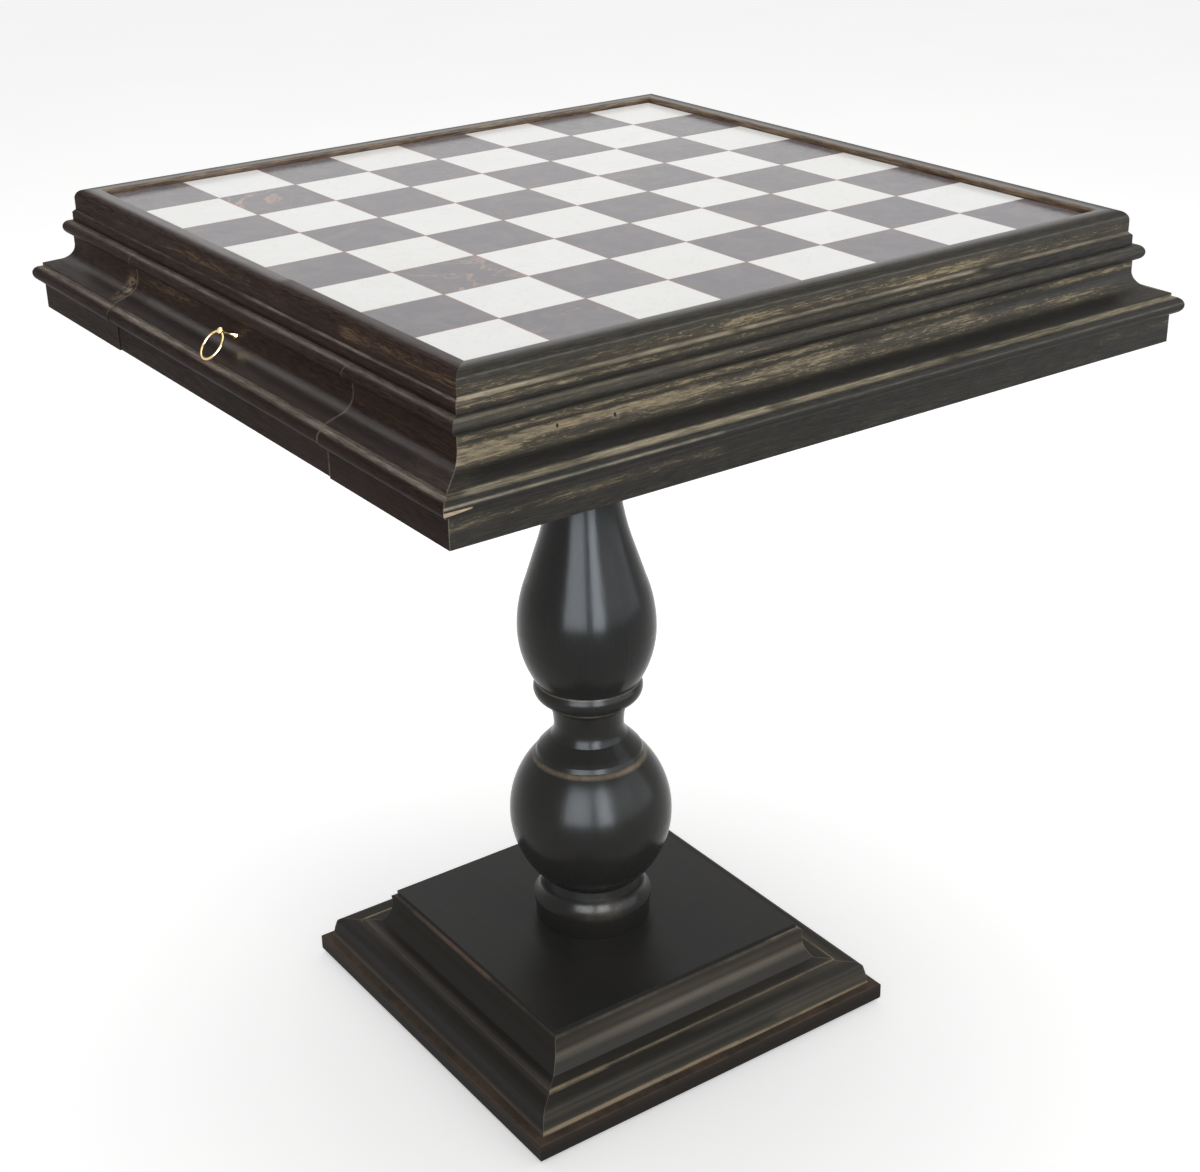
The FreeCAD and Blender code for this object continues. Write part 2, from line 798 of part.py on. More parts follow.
def column():
    """Turned column: foot, ball, shoulder, collar, vase and capital, with a tenon on top."""
    foot = dim("column_foot")
    disc = dim("disc_radius")
    disc_top = dim("disc_crown")
    flange = dim("flange_radius")
    ball = dim("ball_half")
    middle = dim("ball_middle")
    curve = dim("ball_curve")
    neck = dim("neck_radius")
    vase = dim("vase_half")
    belly = dim("vase_middle")
    insert = dim("insert_radius")
    bore_top = foot + dim("insert_long")
    tenon = dim("tenon_radius")
    plate_low = dim("plate_low")
    outline = [
        line_to(insert, foot),
        line_to(disc, foot),
        line_to(disc, disc_top),
        line_to(flange, disc_top + 0.6),
        line_to(flange, disc_top + 3.0),
        arc_to(flange - 7.8, disc_top + 15.0, -14),
        line_to(flange - 9.3, middle - 55.6),
        arc_to(ball, middle, curve),
        arc_to(ball - 18.9, middle + 49.6, curve),
        line_to(ball - 21.3, middle + 52.2),
        line_to(ball - 22.7, middle + 55.5),
        line_to(ball - 24.9, middle + 58.0),
        line_to(ball - 33.4, middle + 67.0),
        arc_to(neck, middle + 76.0, -16.3),
        arc_to(neck + 2.2, belly - 65.4, -62),
        line_to(neck + 4.4, belly - 63.4),
        line_to(neck + 5.6, belly - 62.2),
        line_to(neck + 5.6, belly - 59.8),
        line_to(neck + 7.2, belly - 59.0),
        arc_to(vase - 12.2, belly - 44.0, 9.85),
        line_to(vase - 12.6, belly - 42.8),
        line_to(vase - 12.1, belly - 42.0),
        arc_to(vase, belly, 78.9),
        arc_to(vase - 7.3, belly + 39.0, 107.8),
        line_to(vase - 15.1, belly + 63.0),
        arc_to(vase - 26.4, belly + 129.0, -198.4),
        arc_to(vase - 18.4, belly + 167.0, -94.25),
        line_to(vase - 15.4, belly + 167.0),
        line_to(vase - 15.4, belly + 170.0),
        arc_to(vase - 10.4, belly + 175.0, 5.2),
        arc_to(vase - 15.4, belly + 180.0, 5.2),
        line_to(vase - 18.4, belly + 181.0),
        arc_to(vase - 4.4, plate_low - 8, -22),
        line_to(vase - 2.4, plate_low - 8),
        line_to(vase - 2.4, plate_low),
        line_to(tenon, plate_low),
        line_to(tenon, dim("tenon_crown")),
        line_to(0, dim("tenon_crown")),
        line_to(0, bore_top),
        line_to(insert, bore_top),
    ]
    return turned("column", outline)


def column_insert():
    """Threaded insert in the foot of the column, which takes the bolt."""
    low = dim("column_foot")
    high = low + dim("insert_long")
    bore = dim("bolt_radius") + 0.1
    outer = dim("insert_radius")
    return turned("column_insert", [line_to(bore, low), line_to(outer, low),
                                    line_to(outer, high), line_to(bore, high)])


def screw_places():
    pitch = dim("screw_pitch")
    return [(pitch, pitch), (-pitch, pitch), (-pitch, -pitch), (pitch, -pitch)]


def column_top_plate():
    """Square plate glued on the column's tenon and screwed to the case bottom."""
    half = dim("plate_half")
    holes = [(x, y, dim("screw_radius")) for x, y in screw_places()]
    holes.append((as_size(0), as_size(0), dim("tenon_radius") + 0.1))
    thick = dim("panel_low") - dim("plate_low")
    body = plate("column_top_plate", half, half, dim("plate_low"), thick, holes)
    dress_edges(body, "PartDesign::Chamfer", "Size", 0.0, dim("plate_bevel"))
    sink = new_sketch(body, "XY_Plane")
    for x, y in screw_places():
        add_circle(sink, x, y, dim("screw_head"))
    add_pocket(body, sink, dim("screw_head") - dim("screw_radius"), "One side", True)
    return body


def plate_screws():
    """Four cheese-head wood screws up through the plate into the case bottom."""
    shank = dim("screw_radius") - 0.1
    head = dim("screw_head") - 0.2
    step = dim("screw_head") - dim("screw_radius")
    long = dim("screw_long")
    screws = []
    for number, (x, y) in enumerate(screw_places(), start=1):
        body = turned("plate_screw_%d" % number, [
            line_to(0, 0), line_to(head, 0), line_to(head, step), line_to(shank, step),
            line_to(shank, long - shank), line_to(0, long)])
        place(body, x, y, dim("plate_low"))
        screws.append(body)
    group = doc.addObject("Part::Compound", "plate_screws")
    group.Label = "plate_screws"
    group.Links = screws
    return group


# --------------------------------------------------------------- base

def base_plinth():
    """The square plinth board with eased edges and a pocket for the bolt's head."""
    half = dim("plinth_half")
    low = dim("pad_thick")
    thick = dim("plinth_crown") - low
    body = plate("base_plinth", half, half, low, thick, [(0, 0, dim("bolt_hole"))])
    pocket = new_sketch(body, "XY_Plane")
    add_circle(pocket, 0, 0, dim("counterbore"))
    add_pocket(body, pocket, dim("counterbore_deep"), "One side", True)
    dress_edges(body, "PartDesign::Fillet", "Radius", 0.0, dim("plinth_ease"))
    dress_edges(body, "PartDesign::Fillet", "Radius", thick.value, dim("plinth_worn"))
    return body


def skirt_outline():
    """Lower base moulding: a nearly upright foot, a round shoulder and a fillet on top."""
    inner = dim("base_inner")
    low = dim("plinth_crown")
    foot = dim("skirt_foot")
    upright = dim("skirt_upright")
    fillet = dim("fillet_half")
    fillet_low = dim("fillet_low")
    crown = dim("skirt_crown")
    return [
        line_to(inner, low),
        line_to(foot, low),
        line_to(foot - 1.7, upright),
        line_to(foot - 3.0, upright + 5.5),
        arc_to(foot - 7.5, fillet_low + 0.4, 5.5),
        line_to(fillet, fillet_low),
        line_to(fillet, crown),
        line_to(inner, crown),
    ]


def cavetto_outline():
    """Upper base moulding: a hollow with a bevelled arris, rebated for the top panel."""
    inner = dim("base_inner")
    low = dim("skirt_crown")
    foot = dim("cavetto_foot")
    head = dim("cavetto_head")
    crown = dim("cavetto_crown")
    top = dim("top_half")
    ledge = dim("column_foot") - dim("top_thick")
    return [
        line_to(inner, low),
        line_to(foot, low),
        arc_to(head, crown, -dim("cavetto_radius")),
        line_to(top, crown + dim("top_bevel")),
        line_to(top, ledge),
        line_to(inner, ledge),
    ]


def base_mouldings():
    """Two tiers of mitred mouldings on the plinth."""
    inner = dim("base_inner")
    skirt = mitred_frame("base_skirt", ALL_SIDES, skirt_outline(), inner, dim("skirt_foot"))
    cavetto = mitred_frame("base_cavetto", ALL_SIDES, cavetto_outline(), inner,
                           dim("cavetto_foot"))
    return skirt + cavetto


def base_top():
    half = dim("top_half")
    thick = dim("top_thick")
    low = dim("column_foot") - thick
    return plate("base_top", half, half, low, thick, [(0, 0, dim("bolt_hole"))])


def base_block():
    """Block between plinth and top panel that the bolt clamps."""
    half = dim("block_half")
    low = dim("plinth_crown")
    thick = dim("column_foot") - dim("top_thick") - low
    return plate("base_block", half, half, low, thick, [(0, 0, dim("bolt_hole"))])


def base_bolt():
    """Bolt from under the plinth up into the column's insert."""
    head = dim("bolt_head")
    shank = dim("bolt_radius")
    seat = dim("pad_thick") + dim("counterbore_deep") - dim("washer_thick")
    tip = dim("column_foot") + dim("insert_long") - 4
    return turned("base_bolt", [
        line_to(0, seat - dim("bolt_head_tall")), line_to(head, seat - dim("bolt_head_tall")),
        line_to(head, seat), line_to(shank, seat), line_to(shank, tip - 1),
        line_to(shank - 1, tip), line_to(0, tip)])


def base_washer():
    low = dim("pad_thick") + dim("counterbore_deep") - dim("washer_thick")
    high = low + dim("washer_thick")
    bore = dim("bolt_radius") + 0.3
    outer = dim("washer_radius")
    return turned("base_washer", [line_to(bore, low), line_to(outer, low),
                                  line_to(outer, high), line_to(bore, high)])


def felt_pads():
    """Four felt pads under the plinth."""
    pitch = dim("pad_pitch")
    pads = []
    for number, (sx, sy) in enumerate(((1, 1), (-1, 1), (-1, -1), (1, -1)), start=1):
        pad = doc.addObject("Part::Cylinder", "felt_pad_%d" % number)
        bind(pad, "Radius", dim("pad_radius"))
        bind(pad, "Height", dim("pad_thick"))
        place(pad, pitch * sx, pitch * sy, 0)
        pads.append(pad)
    group = doc.addObject("Part::Compound", "felt_pads")
    group.Label = "felt_pads"
    group.Links = pads
    return group


# --------------------------------------------------------------- the whole table

def build():
    """Every separate piece of the table."""
    pieces = [squares("light_squares", True), squares("dark_squares", False), board_backing()]
    pieces += frame_rails()
    pieces += nosing_bars()
    pieces.append(deck_panel())
    pieces += case_mouldings()
    pieces += [case_bottom(), corner_blocks()]
    pieces += drawer_guides()
    pieces += drawer_kickers()
    pieces += drawer_stops()
    pieces.append(drawer_front())
    pieces += drawer_sides()
    pieces += [drawer_back(), drawer_bottom(), pull_post(), pull_nut(), pull_ring()]
    pieces += [column(), column_insert(), column_top_plate(), plate_screws()]
    pieces += [base_plinth(), base_top(), base_block(), base_bolt(), base_washer(), felt_pads()]
    pieces += base_mouldings()
    return pieces


def check(pieces):
    """Stop if any feature failed or any piece isn't a sound solid."""
    doc.recompute()
    for feature in doc.Objects:
        if "Invalid" in feature.State or "Error" in feature.State:
            raise RuntimeError("%s is %s" % (feature.Label, feature.State))
    for piece in pieces:
        shape = piece.Shape
        if shape.isNull() or not shape.isValid() or not shape.Solids:
            raise RuntimeError("%s has no sound solid" % piece.Label)


def export(pieces):
    os.makedirs("parts", exist_ok=True)
    for piece in pieces:
        piece.Shape.exportStep("parts/%s.step" % piece.Label)


doc = FreeCAD.newDocument("chess_table")
sheet = make_sheet()
table = build()
check(table)
export(table)
print("%d pieces" % len(table))
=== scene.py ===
from math import radians, tan

import bpy
from mathutils import Matrix, Vector

# Looks of the pedestal chess table.  Metres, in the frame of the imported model:
# +Z up, origin on the floor, drawer towards -Y.

MM = 0.001
ALONG = {"x": 0, "y": 1, "z": 2}


# --------------------------------------------------------------- colours

# the stone, and the reddish filling of the joints between the squares
JOINT = (0.40, 0.19, 0.15)
ALABASTER_WARM = (0.845, 0.845, 0.820)
ALABASTER_COOL = (0.865, 0.868, 0.862)
ALABASTER_CLOUD = (0.805, 0.80, 0.765)
ALABASTER_VEIN = (0.56, 0.52, 0.46)
ALABASTER_SPECK = (0.62, 0.61, 0.58)
MARBLE_DARK = (0.115, 0.108, 0.124)
MARBLE_CLOUD = (0.165, 0.145, 0.150)
MARBLE_SPECK = (0.21, 0.165, 0.155)
MARBLE_THIN_VEIN = (0.30, 0.18, 0.14)
MARBLE_WIDE_VEIN = (0.50, 0.31, 0.21)

# the finishes of column and base
SOOT = (0.0315, 0.0320, 0.0320)
WARM_SOOT = (0.041, 0.0375, 0.0330)
BROWN_SOOT = (0.058, 0.054, 0.047)
RUBBED = (0.10, 0.083, 0.062)
WORN_GOLD = (0.46, 0.37, 0.24)
COPPER = (0.25, 0.165, 0.115)
# each: black ground, brown ground, haze and painted sheen, worn arrises
BLACK = (SOOT, WARM_SOOT, RUBBED, WORN_GOLD)
# the base front's black: a darker ground than the sides' one, partly as painted shade
WARM_SHADED_BLACK = (WARM_SOOT, WARM_SOOT, (0.135, 0.118, 0.104), COPPER)
WORN_BLACK = (BROWN_SOOT, (0.074, 0.066, 0.056), (0.235, 0.205, 0.165), WORN_GOLD)
PLINTH_BLACK = (WARM_SOOT, (0.048, 0.041, 0.036), (0.092, 0.072, 0.059), COPPER)

# the antiqued wood: dark ground, brown ground, haze of rubbed wood and painted sheen, bare flecks, worn
# arrises that are partly painted highlights
OLIVE_TONES = ((0.0165, 0.0160, 0.0150), (0.050, 0.0435, 0.033), (0.190, 0.156, 0.104),
               (0.52, 0.415, 0.245), (0.60, 0.52, 0.37))
# the front's tones: redder and darker than the olive ones, partly as painted shade on the side away
# from the light
RUSSET_SHADED_TONES = ((0.0165, 0.0110, 0.0095), (0.053, 0.0330, 0.0270), (0.085, 0.052, 0.037),
                (0.20, 0.130, 0.080), (0.44, 0.39, 0.33))

# unfinished and stained wood: pale and deep
RAW = ((0.50, 0.36, 0.22), (0.34, 0.22, 0.12))
PLY = ((0.52, 0.38, 0.24), (0.38, 0.25, 0.14))
DARK_STAIN = ((0.042, 0.030, 0.022), (0.022, 0.015, 0.011))

BRASS = (0.82, 0.60, 0.30)
ZINC = (0.50, 0.50, 0.51)
FELT = ((0.045, 0.035, 0.03), (0.13, 0.10, 0.085))
FELT_CLOUD = (0.07, 0.055, 0.045)


# --------------------------------------------------------------- node trees

class Paint:
    """Builds the node tree of one material."""

    def __init__(self, name):
        self.material = bpy.data.materials.new(name)
        self.material.use_nodes = True
        self.tree = self.material.node_tree
        self.tree.nodes.clear()
        self.shader = self.add("ShaderNodeBsdfPrincipled")
        output = self.add("ShaderNodeOutputMaterial")
        self.link(self.shader.outputs["BSDF"], output.inputs["Surface"])
        self.place = self.add("ShaderNodeTexCoord").outputs["Object"]
        axes = self.add("ShaderNodeSeparateXYZ")
        self.link(self.place, axes.inputs[0])
        self.x, self.y, self.z = axes.outputs

    def add(self, kind):
        return self.tree.nodes.new(kind)

    def link(self, source, target):
        self.tree.links.new(source, target)

    def feed(self, socket, value):
        """Links a socket to an input, or sets the input to a number or colour."""
        if isinstance(value, bpy.types.NodeSocket):
            self.link(value, socket)
        elif isinstance(value, (tuple, list)) and len(socket.default_value) == 4:
            socket.default_value = (*value[:3], 1.0)
        else:
            socket.default_value = value

    def math(self, operation, first, second=0.0, clamp=False):
        node = self.add("ShaderNodeMath")
        node.operation = operation
        node.use_clamp = clamp
        for socket, value in zip(node.inputs, (first, second)):
            self.feed(socket, value)
        return node.outputs[0]

    def plus(self, first, second):
        return self.math("ADD", first, second)

    def minus(self, first, second):
        return self.math("SUBTRACT", first, second)

    def times(self, first, second, clamp=False):
        return self.math("MULTIPLY", first, second, clamp=clamp)

    def larger(self, first, second):
        return self.math("MAXIMUM", first, second)

    def apart(self, first, second):
        """Distance between two values."""
        return self.math("ABSOLUTE", self.minus(first, second))

    def vector(self, operation, *values):
        """Vector operation on places and fixed vectors; a length comes out as a number."""
        node = self.add("ShaderNodeVectorMath")
        node.operation = operation
        for socket, value in zip(node.inputs, values):
            self.feed(socket, value)
        return node.outputs["Value" if operation == "LENGTH" else "Vector"]

    def remap(self, value, low, high, out_low=0.0, out_high=1.0, smooth=True):
        """Maps low..high to out_low..out_high and holds it at both ends."""
        node = self.add("ShaderNodeMapRange")
        node.interpolation_type = "SMOOTHSTEP" if smooth else "LINEAR"
        for socket, number in zip(node.inputs, (value, low, high, out_low, out_high)):
            self.feed(socket, number)
        return node.outputs[0]

    def mix(self, amount, first, second):
        """Blends two colours: the first where amount is 0, the second where it is 1."""
        node = self.add("ShaderNodeMix")
        node.data_type = "RGBA"
        self.feed(node.inputs["Factor"], amount)
        self.feed(node.inputs["A"], first)
        self.feed(node.inputs["B"], second)
        return node.outputs["Result"]

    def stretch(self, scale, shift=(0.0, 0.0, 0.0)):
        """Object coordinates scaled on each axis, then shifted."""
        node = self.add("ShaderNodeMapping")
        self.link(self.place, node.inputs["Vector"])
        node.inputs["Location"].default_value = shift
        node.inputs["Scale"].default_value = scale
        return node.outputs[0]

    def noise(self, vector, scale=1.0, detail=2.0, rough=0.5, warp=0.0):
        node = self.add("ShaderNodeTexNoise")
        self.link(vector, node.inputs["Vector"])
        node.inputs["Scale"].default_value = scale
        node.inputs["Detail"].default_value = detail
        node.inputs["Roughness"].default_value = rough
        node.inputs["Distortion"].default_value = warp
        return node.outputs["Fac"]

    def white(self, vector):
        """A random value and colour for each whole place."""
        node = self.add("ShaderNodeTexWhiteNoise")
        node.noise_dimensions = "3D"
        self.link(vector, node.inputs["Vector"])
        return node.outputs["Value"], node.outputs["Color"]

    def bump(self, height, distance, strength, normal=None):
        node = self.add("ShaderNodeBump")
        self.link(height, node.inputs["Height"])
        node.inputs["Distance"].default_value = distance
        node.inputs["Strength"].default_value = strength
        if normal is not None:
            self.link(normal, node.inputs["Normal"])
        return node.outputs[0]

    def finish(self, **inputs):
        """Sets the shader's inputs, with _ for each space in their names."""
        for name, value in inputs.items():
            self.feed(self.shader.inputs[name.replace("_", " ")], value)
        return self.material


def band(paint, value, centre, reach):
    """1 at centre, falling to 0 at reach on either side."""
    return paint.remap(paint.apart(value, centre), 0.0, reach, 1.0, 0.0)


def grain_scale(along, lengthwise, across):
    """Scales that stretch a noise along one axis."""
    scale = [across, across, across]
    scale[ALONG[along]] = lengthwise
    return tuple(scale)


def grain(paint, along, lengthwise, across, move, **settings):
    """A noise stretched along the grain."""
    return paint.noise(paint.stretch(grain_scale(along, lengthwise, across), move), **settings)


def from_middle(paint):
    """Distance from the middle of the table, measured square to its nearest side."""
    return paint.larger(paint.math("ABSOLUTE", paint.x), paint.math("ABSOLUTE", paint.y))


def from_mitre(paint):
    """Distance from the nearest mitre, measured along a bar."""
    return paint.apart(paint.math("ABSOLUTE", paint.x), paint.math("ABSOLUTE", paint.y))


def scaled(colour, amount):
    """A colour made lighter or darker."""
    return tuple(min(1.0, part * amount) for part in colour)


# --------------------------------------------------------------- wood

# in mm: how far a mark fades past its ends, and half the width of a mitre's line where it
# begins to fade and where it is gone
MARK_FADE = 16.0
MITRE_CORE = 0.15
MITRE_REACH = 0.7

# index of refraction of the wood's finishes and of the coat on polished places
FINISH_IOR = 1.4
COAT_IOR = 1.5
COAT_ROUGHNESS = 0.30


def span(paint, axis, start, stop):
    """1 between two places in mm along an axis, fading out past both."""
    rise = paint.remap(axis, (start - MARK_FADE) * MM, start * MM)
    fall = paint.remap(axis, stop * MM, (stop + MARK_FADE) * MM, 1.0, 0.0)
    return paint.times(rise, fall)


def marks_on(paint, along, marks):
    """The strongest of several marks: (height, reach, strength, start, stop), sizes in mm.

    A mark with None for start and stop runs the whole length.  A sixth number is the
    mark's distance from the middle of the table.
    """
    axis = {"x": paint.x, "y": paint.y}[along]
    strongest = None
    for height, reach, strength, start, stop, *distances in marks:
        away = paint.apart(paint.z, height * MM)
        for distance in distances:
            away = paint.larger(away, paint.apart(from_middle(paint), distance * MM))
        one = paint.remap(away, 0.0, reach * MM, strength, 0.0)
        if start is not None:
            one = paint.times(one, span(paint, axis, start, stop))
        strongest = one if strongest is None else paint.larger(strongest, one)
    return strongest


def mitre_line(paint, strength):
    """A thin line along the mitres."""
    return paint.remap(from_mitre(paint), MITRE_CORE * MM, MITRE_REACH * MM, strength, 0.0)


def antique(name, along, tones, tables, shift, spots, mitre, mirror):
    """Black-brown antiqued wood, rubbed pale along its grain and on its arrises.

    tables are the marks of the rubbed patches, of the worn lines and of the polished places; some
    patches also paint a sheen and some lines a highlight.
    """
    dark, brown, haze_and_sheen, pale, edge = tones
    patches, lines, polished = tables
    paint = Paint(name)
    move = (shift, shift * 1.7, shift * 0.6)
    broad = grain(paint, along, 3.0, 26.0, move, detail=3.0, rough=0.6)
    cloud = grain(paint, along, 12.0, 70.0, move, detail=4.0, rough=0.6)
    streak = grain(paint, along, 75.0, 1000.0, move, detail=6.0, rough=0.72, warp=0.15)
    fleck = grain(paint, along, 190.0, 1150.0, move, detail=3.0, rough=0.6)
    pore = grain(paint, along, 60.0, 2200.0, move, detail=2.0)

    # how far the finish is rubbed here, and on the right-hand hollow also its painted sheen
    wear_and_sheen = marks_on(paint, along, patches)
    wear_and_sheen = paint.times(wear_and_sheen, paint.remap(cloud, 0.32, 0.66, 0.35, 1.25))
    wear_and_sheen = paint.times(wear_and_sheen, paint.remap(broad, 0.32, 0.66, 0.65, 1.2))
    limit = paint.remap(wear_and_sheen, 0.0, 1.0, 0.64, 0.44, smooth=False)
    fibres = paint.remap(paint.minus(streak, limit), -0.05, 0.17)
    fibres = paint.times(fibres, paint.remap(wear_and_sheen, 0.0, 0.8, 0.20, 0.85))
    limit = paint.remap(wear_and_sheen, 0.0, 1.0, 0.67, 0.55, smooth=False)
    grit = paint.remap(paint.minus(fleck, limit), 0.0, 0.05)
    grit = paint.times(grit, paint.remap(wear_and_sheen, 0.02, 0.5, 0.10, 0.60))
    bare = paint.larger(fibres, grit)

    ground = paint.mix(paint.remap(streak, 0.36, 0.62), dark, brown)
    ground = paint.mix(paint.remap(broad, 0.40, 0.66, 0.0, 0.55), ground, brown)
    ground = paint.mix(paint.times(wear_and_sheen, 0.60, clamp=True), ground, haze_and_sheen)
    colour = paint.mix(bare, ground, pale)
    colour = paint.mix(paint.remap(pore, 0.58, 0.72, 0.0, 0.55), colour, dark)
    # painted shade: the recesses, creases and undersides mixed towards the dark ground
    colour = paint.mix(marks_on(paint, along, PAINTED_SHADE_RECESSES), colour, dark)
    line = paint.larger(marks_on(paint, along, lines), mitre_line(paint, mitre))
    line = paint.times(line, paint.remap(cloud, 0.34, 0.60, 0.45, 1.0))
    line = paint.times(line, paint.remap(streak, 0.36, 0.60, 0.45, 1.0))
    colour = paint.mix(line, colour, edge)
    if spots:
        colour = spots(paint, colour)

    rough = paint.remap(bare, 0.0, 1.0, 0.40, 0.56, smooth=False)
    rough = paint.plus(rough, paint.remap(cloud, 0.3, 0.7, -0.05, 0.05))
    normal = paint.bump(paint.minus(paint.times(streak, 0.8), pore), 0.0005, 0.3)
    normal = paint.bump(broad, 0.0012, 0.25, normal)
    coat = paint.times(marks_on(paint, along, polished), paint.remap(cloud, 0.3, 0.7, 0.75, 1.1),
                       clamp=True)
    return paint.finish(Base_Color=colour, Roughness=rough, Normal=normal,
                        Specular_IOR_Level=mirror, IOR=FINISH_IOR,
                        Coat_Weight=coat, Coat_Roughness=COAT_ROUGHNESS, Coat_IOR=COAT_IOR)


def stained(name, along, pale, deep, shift, rough=0.6):
    """Plain wood with its grain, raw or stained."""
    paint = Paint(name)
    move = (shift, shift * 0.7, shift * 1.3)
    wide = grain(paint, along, 1.4, 16.0, move, detail=4.0, warp=0.4)
    rings = paint.add("ShaderNodeTexWave")
    rings.wave_type = "BANDS"
    rings.bands_direction = {"x": "Y", "y": "X", "z": "X"}[along]
    paint.link(paint.stretch(grain_scale(along, 3.0, 26.0), move), rings.inputs["Vector"])
    rings.inputs["Scale"].default_value = 1.0
    rings.inputs["Distortion"].default_value = 7.0
    rings.inputs["Detail"].default_value = 3.0
    rings.inputs["Detail Scale"].default_value = 1.4
    fine = grain(paint, along, 26.0, 900.0, move, detail=4.0, rough=0.6)
    pore = grain(paint, along, 90.0, 2600.0, move, detail=1.0)
    colour = paint.mix(paint.remap(rings.outputs["Fac"], 0.2, 0.9, 0.05, 0.55), pale, deep)
    colour = paint.mix(paint.remap(wide, 0.35, 0.7, 0.0, 0.45), colour, deep)
    colour = paint.mix(paint.remap(fine, 0.35, 0.7, 0.0, 0.35), colour, scaled(deep, 0.6))
    colour = paint.mix(paint.remap(pore, 0.6, 0.75, 0.0, 0.5), colour, scaled(deep, 0.4))
    normal = paint.bump(paint.minus(fine, pore), 0.0003, 0.4)
    gloss = paint.remap(fine, 0.3, 0.7, rough - 0.08, rough + 0.1)
    return paint.finish(Base_Color=colour, Roughness=gloss, Normal=normal, Specular_IOR_Level=0.3)


def lacquer(name, along, tones, tables, shift, rough, mirror, mitre=0.0, spots=None):
    """Satin black lacquer with hazy brown places, partly painted sheen, worn to bare wood along its
    arrises.

    tables are the marks of the worn lines and of the hazy places, which are partly painted sheen.
    """
    black, brown, haze_and_sheen, bare = tones
    lines, sheens_and_hazes = tables
    paint = Paint(name)
    move = (shift, shift * 0.4, shift * 1.9)
    cloud = paint.noise(paint.stretch((9.0, 9.0, 9.0), move), detail=3.0, rough=0.55)
    fibre = grain(paint, along, 14.0, 420.0, move, detail=4.0, rough=0.6)
    nicks = paint.noise(paint.stretch((190.0, 190.0, 190.0), move), detail=4.0, rough=0.65)
    ragged = paint.noise(paint.stretch((26.0, 26.0, 60.0), move), detail=4.0, rough=0.6)
    # the turned column's marks run all round it, so that either level axis serves for them
    flat = "x" if along == "z" else along
    line = marks_on(paint, flat, lines)
    if mitre:
        line = paint.larger(line, mitre_line(paint, mitre))
    line = paint.times(line, paint.remap(ragged, 0.36, 0.62, 0.60, 1.0))
    line = paint.times(line, paint.remap(nicks, 0.30, 0.62, 0.75, 1.0))
    ground = paint.mix(paint.remap(cloud, 0.4, 0.7, 0.0, 0.6), black, brown)
    ground = paint.mix(paint.remap(fibre, 0.45, 0.7, 0.0, 0.5), ground, brown)
    if sheens_and_hazes:
        sheen_and_haze_mask = paint.times(marks_on(paint, flat, sheens_and_hazes), paint.remap(cloud, 0.3, 0.7, 0.75, 1.1))
        sheen_and_haze_mask = paint.times(sheen_and_haze_mask, paint.remap(fibre, 0.3, 0.7, 0.85, 1.1), clamp=True)
        # painted sheen and haze: the ground made lighter on the hazy places
        ground = paint.mix(sheen_and_haze_mask, ground, haze_and_sheen)
    colour = paint.mix(paint.remap(line, 0.0, 0.35, 0.0, 0.4), ground, haze_and_sheen)
    colour = paint.mix(paint.remap(line, 0.20, 1.0, 0.0, 0.95, smooth=False), colour, bare)
    if spots:
        colour = spots(paint, colour)
    gloss = paint.plus(paint.remap(cloud, 0.3, 0.7, rough - 0.02, rough + 0.05),
                       paint.times(line, 0.15))
    normal = paint.bump(fibre, 0.0004, 0.16)
    normal = paint.bump(cloud, 0.003, 0.15, normal)
    return paint.finish(Base_Color=colour, Roughness=gloss, Normal=normal,
                        Specular_IOR_Level=mirror, IOR=FINISH_IOR)


# --------------------------------------------------------------- stone

# side of a chess square, and how far apart the squares' pieces of the pattern lie
SQUARE = 0.06
PATTERN_SPREAD = (37.0, 37.0, 37.0)

# distances from a square's edge, in mm, between which the joint's filling fades out
FILLING_FULL = 0.2
FILLING_GONE = 0.9
FILLING_STRENGTH = 0.75

STONE_MIRROR = 0.5


def tile_number(paint):
    """Number of the square that a point lies in."""
    return paint.vector("FLOOR", paint.stretch((1 / SQUARE, 1 / SQUARE, 0.0)))


def distance_to_joint(paint, axis):
    """Distance from the nearest joint along one axis."""
    folded = paint.math("FLOORED_MODULO", axis, SQUARE)
    return paint.math("MINIMUM", folded, paint.minus(SQUARE, folded))


def filled_joints(paint, colour):
    """The filling of the joints, which shows along the edges of the squares."""
    edge = paint.math("MINIMUM", distance_to_joint(paint, paint.x), distance_to_joint(paint, paint.y))
    filling = paint.remap(edge, FILLING_FULL * MM, FILLING_GONE * MM, FILLING_STRENGTH, 0.0)
    return paint.mix(filling, colour, JOINT)


def own_place(paint):
    """Texture coordinates and a random value that differ from square to square."""
    value, colour = paint.white(tile_number(paint))
    return paint.vector("MULTIPLY_ADD", colour, PATTERN_SPREAD, paint.place), value


def veins(paint, vector, scale, width, warp):
    """Thin wandering lines where a noise crosses its middle value."""
    field = paint.noise(vector, scale=scale, detail=6.0, rough=0.55, warp=warp)
    return band(paint, field, 0.5, width)


